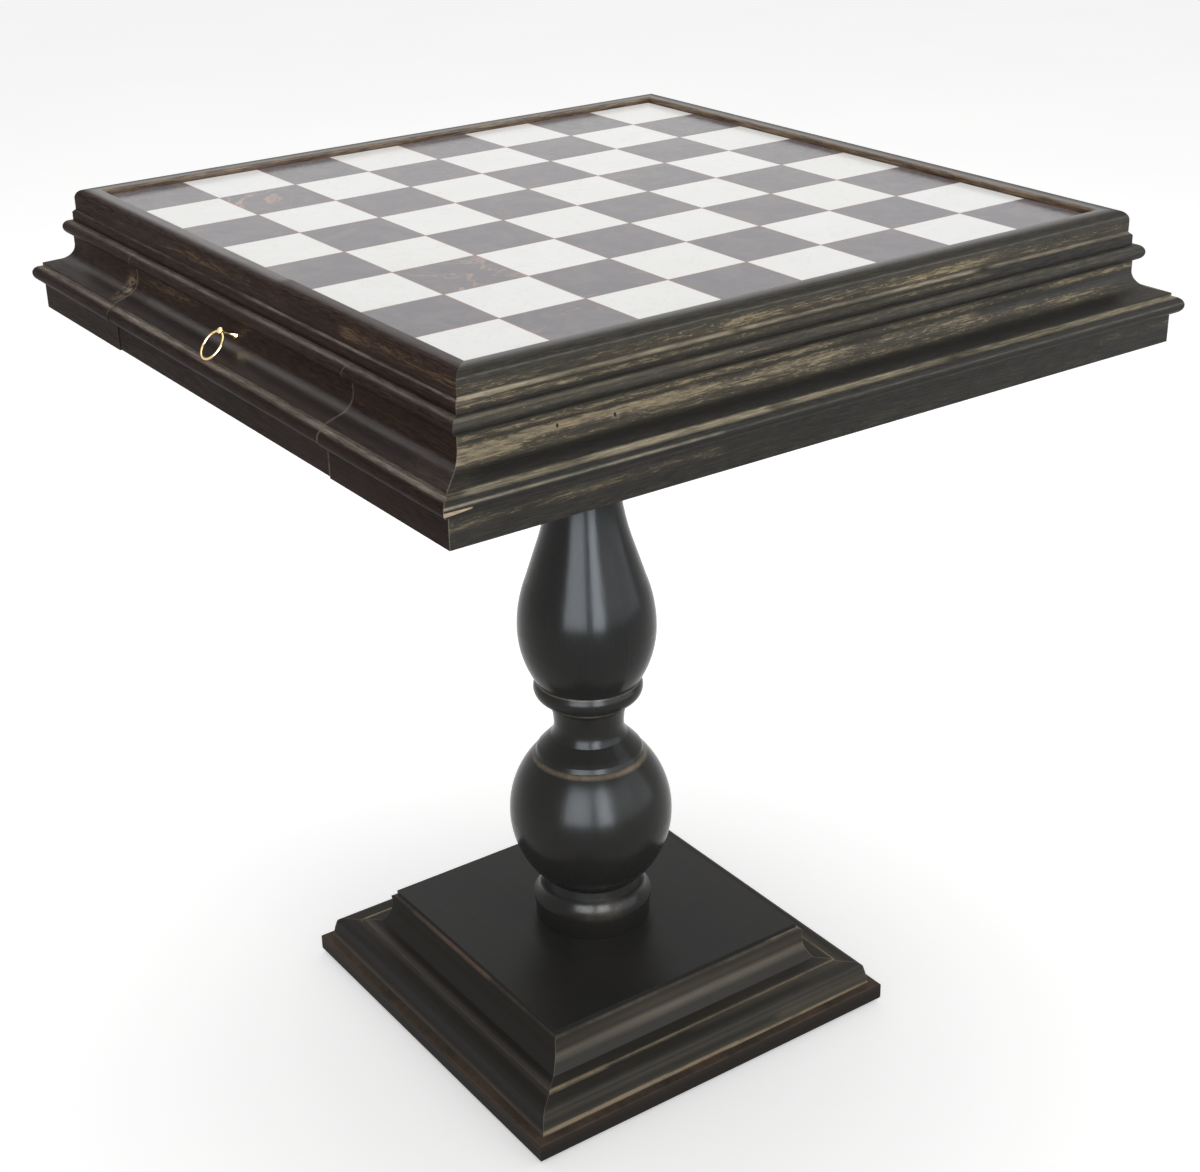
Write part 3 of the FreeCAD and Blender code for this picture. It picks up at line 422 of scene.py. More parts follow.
def alabaster():
    """Pale polished squares with soft cloudy bands."""
    paint = Paint("alabaster")
    vector, value = own_place(paint)
    cloud = paint.noise(vector, scale=26.0, detail=4.0, rough=0.5, warp=0.8)
    fine = paint.noise(vector, scale=240.0, detail=3.0, rough=0.6)
    line = veins(paint, vector, 22.0, 0.018, 1.2)
    colour = paint.mix(value, ALABASTER_WARM, ALABASTER_COOL)
    colour = paint.mix(paint.remap(cloud, 0.35, 0.7, 0.0, 0.45), colour, ALABASTER_CLOUD)
    colour = paint.mix(paint.times(line, 0.14), colour, ALABASTER_VEIN)
    colour = paint.mix(paint.remap(fine, 0.45, 0.75, 0.0, 0.10), colour, ALABASTER_SPECK)
    colour = filled_joints(paint, colour)
    normal = paint.bump(cloud, 0.0006, 0.08)
    return paint.finish(Base_Color=colour, Roughness=paint.remap(fine, 0.3, 0.7, 0.16, 0.24),
                        Normal=normal, Specular_IOR_Level=STONE_MIRROR,
                        Subsurface_Weight=0.08, Subsurface_Radius=(0.01, 0.008, 0.006),
                        Subsurface_Scale=0.2)


def marble():
    """Dark polished squares with brown clouds and orange veins."""
    paint = Paint("dark_marble")
    vector, value = own_place(paint)
    cloud = paint.noise(vector, scale=34.0, detail=5.0, rough=0.6, warp=1.0)
    spots = paint.noise(vector, scale=150.0, detail=4.0, rough=0.65, warp=0.4)
    wide = veins(paint, vector, 17.0, 0.030, 1.8)
    thin = veins(paint, vector, 42.0, 0.018, 1.3)
    gate = paint.remap(paint.noise(vector, scale=14.0, detail=2.0), 0.50, 0.64)
    # few squares have the wide veins, and more of them towards the photo's near corner
    rich = paint.plus(value, paint.times(paint.minus(paint.x, paint.y), 0.9))
    few = paint.remap(rich, 0.55, 0.95)
    colour = paint.mix(paint.remap(cloud, 0.36, 0.68), MARBLE_DARK, MARBLE_CLOUD)
    colour = paint.mix(paint.remap(spots, 0.5, 0.75, 0.0, 0.4), colour, MARBLE_SPECK)
    colour = paint.mix(paint.times(paint.times(thin, gate), 0.35), colour, MARBLE_THIN_VEIN)
    strong = paint.times(paint.times(wide, gate), paint.times(few, 0.75))
    colour = paint.mix(strong, colour, MARBLE_WIDE_VEIN)
    colour = filled_joints(paint, colour)
    normal = paint.bump(spots, 0.0004, 0.08)
    return paint.finish(Base_Color=colour, Roughness=paint.remap(spots, 0.3, 0.7, 0.14, 0.24),
                        Normal=normal, Specular_IOR_Level=STONE_MIRROR)


# --------------------------------------------------------------- metal and felt

def metal(name, colour, rough, scratch):
    """Metal with fine scratches and slight tarnish."""
    paint = Paint(name)
    tarnish = paint.noise(paint.stretch((160.0, 160.0, 160.0)), detail=4.0, rough=0.6)
    marks = paint.noise(paint.stretch((2600.0, 500.0, 2600.0)), detail=3.0, rough=0.6)
    tone = paint.mix(paint.remap(tarnish, 0.45, 0.8, 0.0, 0.5), colour, scaled(colour, 0.62))
    gloss = paint.plus(paint.remap(tarnish, 0.35, 0.75, rough, rough + 0.14),
                       paint.remap(marks, 0.4, 0.7, 0.0, scratch))
    normal = paint.bump(marks, 0.0001, 0.25)
    return paint.finish(Base_Color=tone, Metallic=1.0, Roughness=gloss, Normal=normal)


def felt():
    """Brown felt with a fibrous face."""
    paint = Paint("felt")
    fibre = paint.noise(paint.stretch((1800.0, 1800.0, 1800.0)), detail=4.0, rough=0.7)
    cloud = paint.noise(paint.stretch((120.0, 120.0, 120.0)), detail=2.0)
    colour = paint.mix(paint.remap(fibre, 0.35, 0.7), *FELT)
    colour = paint.mix(paint.remap(cloud, 0.4, 0.7, 0.0, 0.4), colour, FELT_CLOUD)
    normal = paint.bump(fibre, 0.0008, 0.8)
    return paint.finish(Base_Color=colour, Roughness=0.95, Normal=normal, Sheen_Weight=0.4)


# --------------------------------------------------------------- marks on single pieces

# the chip at the near corner of the right-hand bead, in metres: the corner it starts from, the
# heights of its lower and upper edge there and how steeply they close in, and where it ends;
# how soft its edges are, in mm
CHIP_CORNER = -0.2835
CHIP_LOW = 0.5699
CHIP_LOW_RISE = 0.09
CHIP_HIGH = 0.5731
CHIP_HIGH_FALL = 0.02
CHIP_END = (-0.2680, -0.2660)
CHIP_SOFT = 0.4

FRESH_WOOD = ((0.62, 0.46, 0.30), (0.74, 0.60, 0.42))

# the brad holes of the right-hand hollow, and the reach of each hole and of the rubbed halo
# round it on the three axes, in mm
BRADS = ((259.6, -196.0, 593.6), (260.4, -158.0, 591.4))
BRAD_HALO = (6.0, 3.0, 2.2)
BRAD_HOLE = (6.0, 0.9, 1.2)
HALO_BROWN = (0.42, 0.34, 0.21)
HOLE_BLACK = (0.012, 0.009, 0.006)

# the seams of the drawer front, pale as worn arrises and as a painted highlight on the lit ends of the
# mouldings: place along x and reach, in mm; the heights in metres between which the far seam's pale
# line comes in; the rubbed place beside that seam, in mm
NEAR_SEAM = (148.0, 1.9)
FAR_SEAM = (-148.6, 1.6)
FAR_SEAM_RISE = (0.572, 0.582)
SEAM_GREY = (0.24, 0.20, 0.165)
RUBBED_END = (-156.0, -263.0, 589.0)
RUBBED_END_REACH = (7.0, 14.0, 7.0)
RUBBED_END_BROWN = (0.36, 0.26, 0.17)

# the cracks of the front nosing: place along x in mm and lean, at this height in metres, and
# how far each reaches to either side, in mm
CRACKS = ((146.0, 0.55), (-148.5, 0.35))
CRACK_HEIGHT = 0.608
CRACK_REACH = 0.7
CRACK_GREY = (0.17, 0.15, 0.13)

# distances from the middle of the table, in metres, between which a rail's inner face ends
INNER_FACE_END = (0.2414, 0.2432)
INNER_FACE_BROWNS = ((0.075, 0.045, 0.026), (0.24, 0.165, 0.095))

# the painted reflection on the flare over the column's foot, a pale patch, in mm
FLARE_REFLECTION = (39.0, -19.0, 89.5)
FLARE_REFLECTION_REACH = (17.0, 17.0, 5.5)
FLARE_REFLECTION_GREY = (0.24, 0.21, 0.17)


def soft_spot(paint, centre, reach, soft):
    """1 near a place in mm, falling to 0; reach gives the size on each axis."""
    offset = paint.vector("SUBTRACT", paint.place, [part * MM for part in centre])
    ratio = paint.vector("DIVIDE", offset, [part * MM for part in reach])
    return paint.remap(paint.vector("LENGTH", ratio), 1.0 - soft, 1.0 + soft, 1.0, 0.0)


def right_case_spots(paint, colour):
    """The chip at the near corner and the two brad holes of the right-hand moulding."""
    along = paint.minus(paint.y, CHIP_CORNER)
    low = paint.plus(CHIP_LOW, paint.times(along, CHIP_LOW_RISE))
    high = paint.minus(CHIP_HIGH, paint.times(along, CHIP_HIGH_FALL))
    chip = paint.times(paint.remap(paint.minus(paint.z, low), 0.0, CHIP_SOFT * MM),
                       paint.remap(paint.minus(high, paint.z), 0.0, CHIP_SOFT * MM))
    chip = paint.times(chip, paint.remap(paint.y, *CHIP_END, 1.0, 0.0))
    ragged = paint.noise(paint.stretch((500.0, 200.0, 900.0)), detail=3.0)
    fresh = paint.mix(paint.remap(ragged, 0.35, 0.65), *FRESH_WOOD)
    colour = paint.mix(chip, colour, fresh)
    for place in BRADS:
        halo = soft_spot(paint, place, BRAD_HALO, 0.7)
        hole = soft_spot(paint, place, BRAD_HOLE, 0.3)
        colour = paint.mix(paint.times(halo, 0.4), colour, HALO_BROWN)
        colour = paint.mix(hole, colour, HOLE_BLACK)
    return colour


def seam_wear_and_highlight(paint, colour):
    """Worn lines where the drawer front meets the fixed mouldings, and a painted highlight there on the
    lit ends of the mouldings.
    """
    patchy = paint.noise(paint.stretch((60.0, 60.0, 160.0)), detail=4.0, rough=0.6)
    near, far = [band(paint, paint.x, place * MM, reach * MM) for place, reach in (NEAR_SEAM, FAR_SEAM)]
    near = paint.times(near, paint.remap(patchy, 0.32, 0.60, 0.25, 0.95))
    far = paint.times(far, paint.remap(paint.z, *FAR_SEAM_RISE, 0.15, 0.7))
    # wear and painted highlight: pale lines along both seams
    colour = paint.mix(paint.larger(near, far), colour, SEAM_GREY)
    wear_and_reflection = soft_spot(paint, RUBBED_END, RUBBED_END_REACH, 0.8)
    ragged = paint.noise(paint.stretch((170.0, 170.0, 320.0)), detail=5.0, rough=0.7)
    wear_and_reflection = paint.times(wear_and_reflection, paint.remap(ragged, 0.42, 0.60, 0.0, 0.9))
    return paint.mix(wear_and_reflection, colour, RUBBED_END_BROWN)


def nosing_cracks(paint, colour):
    """Fine cracks across the front nosing over both ends of the drawer."""
    for start, lean in CRACKS:
        place = paint.plus(start * MM, paint.times(paint.minus(paint.z, CRACK_HEIGHT), lean))
        crack = band(paint, paint.x, place, CRACK_REACH * MM)
        colour = paint.mix(paint.times(crack, 0.75), colour, CRACK_GREY)
    return colour


def inner_face(paint, colour):
    """The golden brown inner face of a rail, beside the stone."""
    inside = paint.remap(from_middle(paint), *INNER_FACE_END, 1.0, 0.0)
    fibre = paint.noise(paint.stretch((60.0, 60.0, 900.0)), detail=4.0, rough=0.6)
    brown = paint.mix(paint.remap(fibre, 0.35, 0.65), *INNER_FACE_BROWNS)
    return paint.mix(inside, colour, brown)


def painted_flare_reflection(paint, colour):
    """A painted reflection: a pale patch on the flare over the column's foot."""
    patchy = paint.noise(paint.stretch((90.0, 90.0, 140.0)), detail=4.0, rough=0.6)
    # painted reflection: the flare lightened where it faces the light
    wear_and_reflection = soft_spot(paint, FLARE_REFLECTION, FLARE_REFLECTION_REACH, 0.8)
    wear_and_reflection = paint.times(wear_and_reflection, paint.remap(patchy, 0.35, 0.65, 0.25, 0.6))
    return paint.mix(wear_and_reflection, colour, FLARE_REFLECTION_GREY)


# --------------------------------------------------------------- marks of the bars

# A mark is (height, reach, strength, start, stop), with None for one that runs the whole
# length, and sometimes its distance from the middle of the table; sizes are in mm.  The marks
# called "right" serve every side that has none of its own.

# places of the top's bars darkened as painted shade: the hollow's shelf, the creases and the undersides
PAINTED_SHADE_RECESSES = ((583.2, 3.2, 0.80, -250.0, 226.0), (614.5, 1.8, 0.35, None, None),
            (604.5, 2.5, 0.2, None, None), (576.0, 2.0, 0.5, None, None),
            (572.0, 3.6, 0.65, None, None), (560.0, 16.0, 0.45, None, None))

# rubbed patches, worn lines and polished places of the top's bars; the lines on rounded crests are
# partly painted highlights
RAIL_PATCHES = {
    "right": ((625.5, 6.0, 0.75, -100.0, 160.0), (625.5, 6.0, 0.60, -250.0, 250.0),
              (617.5, 5.0, 1.00, -262.0, -228.0), (617.0, 3.0, 0.70, -250.0, 120.0)),
    "front": ((628.0, 6.5, 1.10, -105.0, 15.0), (627.0, 6.5, 0.65, -180.0, 60.0),
              (628.0, 7.0, 1.10, 140.0, 258.0), (616.5, 3.0, 0.35, None, None)),
}
RAIL_LINES = {
    "right": ((620.9, 1.7, 1.15, -258.0, -80.0), (620.9, 1.5, 0.95, -60.0, 110.0),
              # the faint pale line at 631.5 on the rail's upper rounding is a painted highlight
              (620.9, 1.5, 0.65, 140.0, 258.0), (631.5, 0.8, 0.16, None, None)),
    "front": ((620.4, 1.0, 0.60, 20.0, 256.0), (620.4, 0.8, 0.20, -256.0, 20.0)),
}
RAIL_POLISH = {
    "right": ((635.4, 7.5, 0.80, None, None, 243.0),),
    "front": ((635.4, 11.0, 1.30, -262.0, 40.0, 243.5), (635.4, 9.0, 0.60, 40.0, 262.0, 243.5)),
}
NOSING_PATCHES = {
    "right": ((610.0, 4.0, 0.30, None, None),),
    "front": ((609.0, 4.0, 0.20, None, None),),
}
NOSING_LINES = {
    # the lines on the nosing's crest are worn arrises and partly a painted highlight
    "right": ((611.9, 1.2, 0.26, -262.0, -60.0), (611.9, 1.1, 0.14, None, None)),
    "front": ((612.6, 1.2, 0.38, -160.0, 262.0), (612.8, 1.3, 0.30, -262.0, -160.0)),
}
NOSING_POLISH = {"right": ((612.3, 1.8, 0.2, None, None),)}
CASE_PATCHES = {
    # the hollow's patches from 589 to 593 are rubbed streaks and also a painted sheen on its upper part
    "right": ((593.2, 4.0, 2.20, -215.0, -120.0), (589.5, 4.5, 1.30, -262.0, -228.0),
              (592.5, 6.0, 1.00, -262.0, 110.0), (590.0, 4.0, 0.95, -70.0, 235.0),
              (599.5, 3.5, 0.75, -262.0, 262.0), (587.5, 3.0, 0.55, None, None),
              (561.0, 5.5, 1.00, -278.0, -105.0), (561.0, 6.5, 0.60, 215.0, 280.0),
              (557.0, 9.0, 0.20, None, None)),
    "front": ((598.0, 8.0, 0.85, -140.0, -60.0), (592.0, 9.0, 0.25, None, None)),
}
CASE_LINES = {
    "right": ((579.3, 1.8, 1.00, -262.0, -70.0), (579.3, 1.6, 0.85, -40.0, 70.0),
              (579.3, 1.6, 0.80, 90.0, 284.0), (579.3, 1.6, 0.40, None, None),
              # the lines at 574.8 on the bead's crest are worn and partly a painted highlight
              (574.8, 1.2, 0.75, -284.0, -110.0), (574.8, 0.9, 0.16, -110.0, 284.0)),
    "front": ((579.2, 2.2, 0.85, -120.0, 284.0), (579.2, 2.0, 0.60, -284.0, -120.0)),
}
CASE_POLISH = {
    "right": ((587.0, 3.0, 0.25, None, None),),
    "front": ((585.8, 3.4, 0.72, -120.0, 284.0), (585.6, 3.5, 0.45, None, None),
              (583.0, 4.0, 0.22, None, None)),
}

# worn lines and hazy places of the base mouldings; most hazy places of skirt and cavetto are painted
# sheen, lighter bands where their curves face the light
SKIRT_LINES = {
    "right": ((35.4, 2.8, 1.30, -134.0, -92.0, 135.2), (35.4, 2.0, 0.75, -92.0, 100.0, 135.2),
              (35.4, 1.8, 0.80, 112.0, 136.0, 135.2), (18.5, 2.8, 1.80, -154.0, -50.0),
              (18.1, 2.6, 1.45, -50.0, 20.0), (17.3, 2.6, 1.45, 20.0, 70.0),
              (17.3, 2.4, 1.10, 85.0, 154.0)),
    "front": ((35.4, 1.8, 0.60, -118.0, -66.0, 135.2), (35.4, 1.6, 0.45, None, None, 135.2),
              (18.4, 1.8, 0.55, 60.0, 112.0), (18.4, 1.6, 0.38, None, None)),
}
SKIRT_HAZES_AND_SHEENS = {
    # the skirt's bands from 23.5 to 35 are painted sheen on its rounded parts
    "right": ((28.5, 3.0, 0.20, None, None), (23.5, 6.0, 0.32, 70.0, 154.0),
              (20.0, 4.0, 0.25, None, None), (34.4, 7.0, 0.30, 0.0, 154.0, 137.0)),
    # the front's bands are painted sheen on the fillet's top and on the skirt's foot
    "front": ((35.2, 7.0, 0.80, None, None, 134.0), (18.4, 4.5, 0.80, None, None)),
}
CAVETTO_LINES = {
    "right": ((61.6, 1.4, 0.34, None, None), (62.6, 1.8, 0.90, 92.0, 118.0)),
    "front": ((61.8, 1.4, 0.85, -78.0, 20.0), (61.8, 1.3, 0.40, None, None)),
}
CAVETTO_HAZES_AND_SHEENS = {
    # the band at 46.8 across the cavetto's middle is a painted sheen
    "right": ((46.8, 6.0, 0.95, None, None), (55.0, 9.0, 0.25, None, None)),
    "front": ((56.0, 6.0, 0.10, None, None),),
}

# the other pieces have the same marks on every side
PLINTH_LINES = ((16.3, 1.7, 0.50, None, None),)
PLINTH_HAZES = ((14.5, 5.0, 0.35, None, None),)
TOP_LINES = ((65.8, 0.6, 0.14, None, None),)
COLUMN_LINES = ((208.5, 3.0, 0.75, None, None), (254.0, 1.6, 0.42, None, None),
                (271.6, 1.3, 0.46, None, None), (260.5, 0.8, 0.10, None, None),
                (487.0, 1.2, 0.3, None, None), (82.0, 11.0, 0.12, None, None))

# how strongly the finishes mirror: the shader's specular level
FRONT_MIRROR = 0.018
SIDE_MIRROR = 0.12
COLUMN_MIRROR = 0.15
BASE_MIRROR = 0.06
PLINTH_MIRROR = 0.03
BASE_TOP_MIRROR = 0.19

# strength of the line along the mitres
CASE_MITRE = 0.35
FRAME_MITRE = 0.08
BASE_MITRE = 0.5

BASE_ROUGHNESS = 0.38

# how far the pattern moves on from one CAD node to the next
SHIFT_STEP = 0.37


def side_of(name):
    """The side of the table that a bar lies on; the drawer's front lies on the front."""
    for side in ("right", "back", "left"):
        if side in name.split("_"):
            return side
    return "front"


def length_axis(side):
    """The axis that the bars of a side run along."""
    return "y" if side in ("right", "left") else "x"


def marks_of(table, side):
    """The marks of a side; the sides without marks of their own are worn like the right-hand one."""
    return table.get(side, table["right"])


def bar_material(name, tables, side, shift, spots):
    """Antiqued wood of a bar of the top, redder and more matt on the side with the drawer, and darker
    there, partly as painted shade.
    """
    tones, mirror = (RUSSET_SHADED_TONES, FRONT_MIRROR) if side == "front" else (OLIVE_TONES, SIDE_MIRROR)
    marks = [marks_of(table, side) for table in tables]
    mitre = CASE_MITRE if name.startswith("moulding") else FRAME_MITRE
    return antique(name + "_wood", length_axis(side), tones, marks, shift, spots, mitre, mirror)


def base_material(name, tables, side, shift):
    """Lacquer of a base moulding, worn less on the front than on the other sides and darker there,
    partly as painted shade.
    """
    tones = WARM_SHADED_BLACK if side == "front" else WORN_BLACK
    marks = [marks_of(table, side) for table in tables]
    return lacquer(name + "_lacquer", length_axis(side), tones, marks, shift, BASE_ROUGHNESS,
                   BASE_MIRROR, mitre=BASE_MITRE)


# --------------------------------------------------------------- dress the pieces

def plain_materials():
    """Materials of the pieces that need nothing of their own from their place."""
    brass = metal("brass_polished", BRASS, 0.12, 0.08)
    steel = metal("steel_zinc", ZINC, 0.30, 0.12)
    return {
        "light_squares": alabaster(),
        "dark_squares": marble(),
        "board_backing": stained("backing_ply", "x", *PLY, 0.1),
        "deck_panel": stained("deck_ply", "x", *PLY, 0.2),
        "case_bottom": stained("case_bottom_wood", "x", *DARK_STAIN, 0.5, 0.5),
        "column_top_plate": stained("top_plate_wood", "x", *DARK_STAIN, 1.5, 0.45),
        "corner_blocks": stained("corner_block_wood", "z", *RAW, 0.4),
        "base_block": stained("base_block_wood", "x", *RAW, 0.6),
        "drawer_side_left": stained("drawer_side_left_wood", "y", *RAW, 0.7),
        "drawer_side_right": stained("drawer_side_right_wood", "y", *RAW, 0.8),
        "drawer_back": stained("drawer_back_wood", "x", *RAW, 0.9),
        "drawer_bottom": stained("drawer_bottom_ply", "y", *PLY, 1.0),
        "column": lacquer("column_lacquer", "z", BLACK, (COLUMN_LINES, ()), 0.3, 0.21,
                          COLUMN_MIRROR, spots=painted_flare_reflection),
        "base_plinth": lacquer("plinth_lacquer", "x", PLINTH_BLACK, (PLINTH_LINES, PLINTH_HAZES),
                               0.9, 0.40, PLINTH_MIRROR),
        "base_top": lacquer("base_top_lacquer", "x", BLACK, (TOP_LINES, ()), 0.2, 0.30,
                            BASE_TOP_MIRROR),
        "felt_pads": felt(),
        "pull_post": brass, "pull_ring": brass, "pull_nut": brass,
        "plate_screws": steel, "base_bolt": steel, "base_washer": steel, "column_insert": steel,
    }


def moulded_material(name, shift):
    """Material of a rail, a nosing, a case moulding or a base moulding."""
    side = side_of(name)
    if name.startswith("rail_"):
        return bar_material(name, (RAIL_PATCHES, RAIL_LINES, RAIL_POLISH), side, shift, inner_face)
    if name.startswith("nosing_"):
        spots = nosing_cracks if side == "front" else None
        return bar_material(name, (NOSING_PATCHES, NOSING_LINES, NOSING_POLISH), side, shift, spots)
    if name.startswith("base_skirt"):
        return base_material(name, (SKIRT_LINES, SKIRT_HAZES_AND_SHEENS), side, shift)
    if name.startswith("base_cavetto"):
        return base_material(name, (CAVETTO_LINES, CAVETTO_HAZES_AND_SHEENS), side, shift)
    if name == "drawer_front" or name.startswith("moulding_front"):
        return bar_material(name, (CASE_PATCHES, CASE_LINES, CASE_POLISH), "front", shift, seam_wear_and_highlight)
    spots = right_case_spots if side == "right" else None
    return bar_material(name, (CASE_PATCHES, CASE_LINES, CASE_POLISH), side, shift, spots)


def dress(nodes):
    """Gives every CAD node its material."""
    plain = plain_materials()
    strip = stained("strip_wood", "y", *RAW, 1.1)
    moulded = ("rail_", "nosing_", "moulding_", "drawer_front", "base_skirt", "base_cavetto")
    shift = 0.0
    for name, node in nodes.items():
        shift += SHIFT_STEP
        if name in plain:
            material = plain[name]
        elif name.startswith(moulded) and name != "drawer_front_stop":
            material = moulded_material(name, shift)
        else:
            material = strip
        node.data.materials.clear()
        node.data.materials.append(material)


# width of the soft arrises in mm, and the angle in radians from which an edge is an arris
ARRIS = 0.5
ARRIS_ANGLE = 0.6
SOFT_EDGES = {"column": 0.35, "base_plinth": 1.5, "light_squares": 0.12, "dark_squares": 0.12,
              "pull_ring": 0.0, "pull_post": 0.1, "pull_nut": 0.15, "felt_pads": 0.2,
              "plate_screws": 0.2, "base_bolt": 0.4, "base_washer": 0.2, "column_insert": 0.2}


def soften(nodes):
    """Takes the sharpness off every arris, but not off the ring, which has none."""
    for name, node in nodes.items():
        width = SOFT_EDGES.get(name, ARRIS)
        if not width:
            continue
        bevel = node.modifiers.new("arris", "BEVEL")
        bevel.width = width * MM
        bevel.segments = 2
        bevel.limit_method = "ANGLE"
        bevel.angle_limit = ARRIS_ANGLE
        bevel.harden_normals = True


# --------------------------------------------------------------- camera, floor and light

# size of the photo, its focal length and the point that the camera looks straight at, in pixels
PHOTO_WIDTH = 1200.0
PHOTO_HEIGHT = 1172.0
FOCAL_LENGTH = 2024.04
CENTRE_X = 557.30
CENTRE_Y = 573.90

# width of the sensor in mm, and where the camera stands and how it is turned
SENSOR = 36.0
CAMERA_PLACE = Vector((1.111463, -0.768830, 0.974611))
CAMERA_RIGHT = Vector((0.565950, 0.824026, -0.026266))
CAMERA_DOWN = Vector((0.329215, -0.255086, -0.909155))
CAMERA_AHEAD = Vector((-0.755863, 0.505885, -0.415637))

# half the side of the floor, and how brightly it glows where it is seen
FLOOR_HALF = 12.0
FLOOR_GLOW = 0.44
FLOOR_PAPER = ((0.90, 0.90, 0.90), (0.915, 0.915, 0.91))

# brightness of the world as a lamp and where it is seen
WORLD_LAMP = 0.50
WORLD_SEEN = 1.0

# direction of the viewer from the table in degrees, and the distance of the window panes
# from its middle, the height of their middle and their own height in metres
VIEW_BEARING = -34.7
WINDOW_FAR = 2.4
WINDOW_MIDDLE = 1.15
WINDOW_TALL = 2.1
WINDOW_BLUE = (0.84, 0.92, 1.0)

# name, bearing from the viewer and half the width in degrees, power
WINDOWS = (("window_left", -18.2, 18.4, 190.0),
           ("window_right", 20.0, 10.0, 150.0),
           ("window_beside", 66.0, 34.0, 75.0))

# name, place, point that it faces, width, height, power, colour
SOFT_LAMPS = (("overhead", (-0.3, 0.2, 2.6), (0.0, 0.0, 0.4), 2.2, 2.2, 24.0, (1.0, 1.0, 1.0)),
              ("right_side", (2.6, 0.9, 1.3), (0.0, 0.0, 0.5), 1.4, 1.4, 8.0, (1.0, 0.97, 0.93)))


def make_camera():
    """The photo's camera, solved from the corners of the board and the base."""
    data = bpy.data.cameras.new("camera")
    camera = bpy.data.objects.new("camera", data)
    bpy.context.collection.objects.link(camera)
    turn = Matrix((CAMERA_RIGHT, -CAMERA_DOWN, -CAMERA_AHEAD)).transposed()
    camera.matrix_world = Matrix.LocRotScale(CAMERA_PLACE, turn.to_quaternion(), None)
    data.sensor_width = SENSOR
    data.lens = FOCAL_LENGTH * SENSOR / PHOTO_WIDTH
    data.shift_x = (PHOTO_WIDTH / 2 - CENTRE_X) / PHOTO_WIDTH
    data.shift_y = (CENTRE_Y - PHOTO_HEIGHT / 2) / PHOTO_WIDTH
    data.clip_start = 0.05
    data.clip_end = 50.0
    bpy.context.scene.camera = camera


def seen_ray(tree):
    """1 for rays from the camera, a mirror or glass, and 0 for rays that carry soft light."""
    path = tree.nodes.new("ShaderNodeLightPath")
    seen = path.outputs["Is Camera Ray"]
    for kind in ("Is Glossy Ray", "Is Transmission Ray"):
        either = tree.nodes.new("ShaderNodeMath")
        either.operation = "MAXIMUM"
        tree.links.new(seen, either.inputs[0])
        tree.links.new(path.outputs[kind], either.inputs[1])
        seen = either.outputs[0]
    return seen


def make_floor():
    """A wide pale floor that reads as white and still takes the table's shadow."""
    mesh = bpy.data.meshes.new("floor")
    signs = ((-1, -1), (1, -1), (1, 1), (-1, 1))
    corners = [(across * FLOOR_HALF, deep * FLOOR_HALF, 0.0) for across, deep in signs]
    mesh.from_pydata(corners, [], [(0, 1, 2, 3)])
    floor = bpy.data.objects.new("floor", mesh)
    bpy.context.collection.objects.link(floor)
    paint = Paint("floor_paper")
    mottle = paint.noise(paint.stretch((3.0, 3.0, 3.0)), detail=3.0)
    colour = paint.mix(paint.remap(mottle, 0.3, 0.7), *FLOOR_PAPER)
    paint.finish(Base_Color=colour, Roughness=0.9, Specular_IOR_Level=0.0,
                 Emission_Color=(1.0, 1.0, 1.0))
    glow = paint.times(seen_ray(paint.tree), FLOOR_GLOW)
    paint.link(glow, paint.shader.inputs["Emission Strength"])
    mesh.materials.append(paint.material)


def make_world():
    """An even pale surrounding, white where it is seen directly or in a reflection."""
    world = bpy.data.worlds.new("studio")
    bpy.context.scene.world = world
    world.use_nodes = True
    tree = world.node_tree
    tree.nodes.clear()
    output = tree.nodes.new("ShaderNodeOutputWorld")
    sky = tree.nodes.new("ShaderNodeBackground")
    level = tree.nodes.new("ShaderNodeMapRange")
    tree.links.new(seen_ray(tree), level.inputs[0])
    level.inputs["To Min"].default_value = WORLD_LAMP
    level.inputs["To Max"].default_value = WORLD_SEEN
    tree.links.new(level.outputs[0], sky.inputs["Strength"])
    sky.inputs["Color"].default_value = (1.0, 1.0, 1.0, 1.0)
    tree.links.new(sky.outputs[0], output.inputs[0])


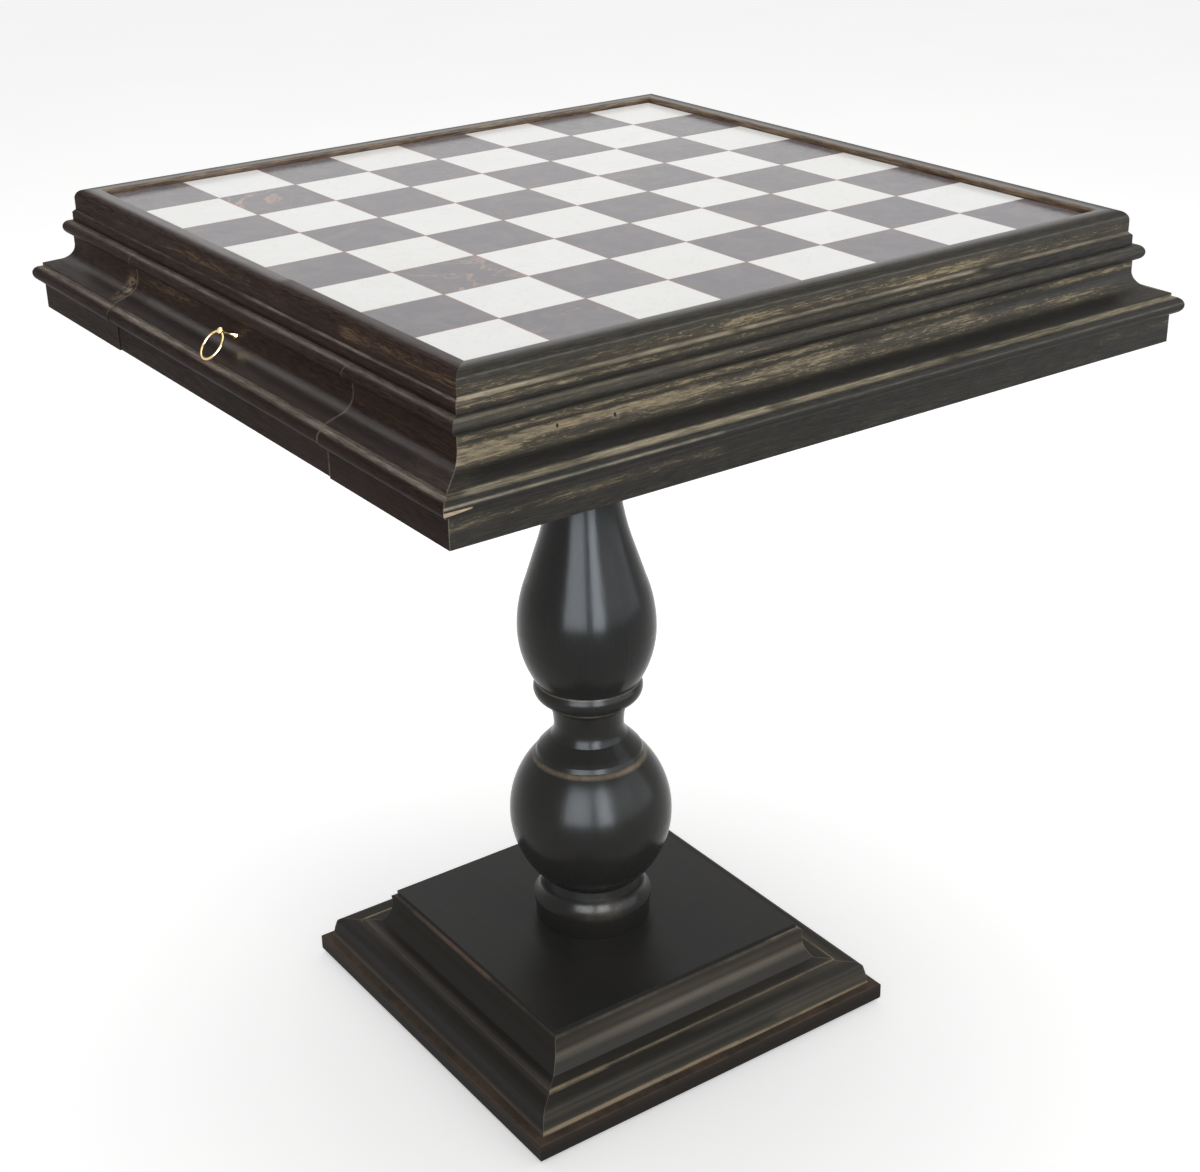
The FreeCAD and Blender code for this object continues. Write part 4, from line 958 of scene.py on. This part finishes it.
def panel(name, place, aim, wide, tall, power, colour):
    """A soft rectangular lamp at place that faces aim."""
    data = bpy.data.lights.new(name, "AREA")
    data.shape = "RECTANGLE"
    data.size = wide
    data.size_y = tall
    data.energy = power
    data.color = colour
    lamp = bpy.data.objects.new(name, data)
    bpy.context.collection.objects.link(lamp)
    lamp.location = place
    lamp.rotation_mode = "QUATERNION"
    lamp.rotation_quaternion = (Vector(aim) - Vector(place)).to_track_quat("-Z", "Y")
    return lamp


def window_pane(unlit, name, bearing, half_angle, power):
    """One tall pane, there to be mirrored and not to light the room."""
    middle = Matrix.Rotation(radians(VIEW_BEARING + bearing), 3, "Z") @ Vector((1.0, 0.0, 0.0))
    place = middle * WINDOW_FAR + Vector((0.0, 0.0, WINDOW_MIDDLE))
    wide = 2.0 * WINDOW_FAR * tan(radians(half_angle))
    pane = panel(name, place, (0.0, 0.0, WINDOW_MIDDLE), wide, WINDOW_TALL, power, WINDOW_BLUE)
    pane.visible_diffuse = False
    pane.light_linking.receiver_collection = unlit


def not_in_the_windows(nodes):
    """The level polished surfaces, which are kept from mirroring the panes in views from behind."""
    unlit = bpy.data.collections.new("not_in_the_windows")
    for name in ("light_squares", "dark_squares", "base_top"):
        unlit.objects.link(nodes[name])
    for member in unlit.collection_objects:
        member.light_linking.link_state = "EXCLUDE"
    return unlit


def make_lights(nodes):
    """Three window panes round the viewer, and soft panels overhead and at the right."""
    unlit = not_in_the_windows(nodes)
    for window in WINDOWS:
        window_pane(unlit, *window)
    for lamp in SOFT_LAMPS:
        panel(*lamp)


# --------------------------------------------------------------- the scene

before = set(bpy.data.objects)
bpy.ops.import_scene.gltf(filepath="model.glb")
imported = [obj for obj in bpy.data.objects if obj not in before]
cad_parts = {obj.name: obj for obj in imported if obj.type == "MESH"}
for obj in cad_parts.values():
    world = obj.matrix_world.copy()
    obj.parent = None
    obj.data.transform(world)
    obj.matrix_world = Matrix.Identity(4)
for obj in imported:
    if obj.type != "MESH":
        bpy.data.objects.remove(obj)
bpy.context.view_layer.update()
bpy.context.scene.view_settings.view_transform = "Standard"
make_camera()
make_world()
make_lights(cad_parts)
make_floor()
dress(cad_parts)
soften(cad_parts)
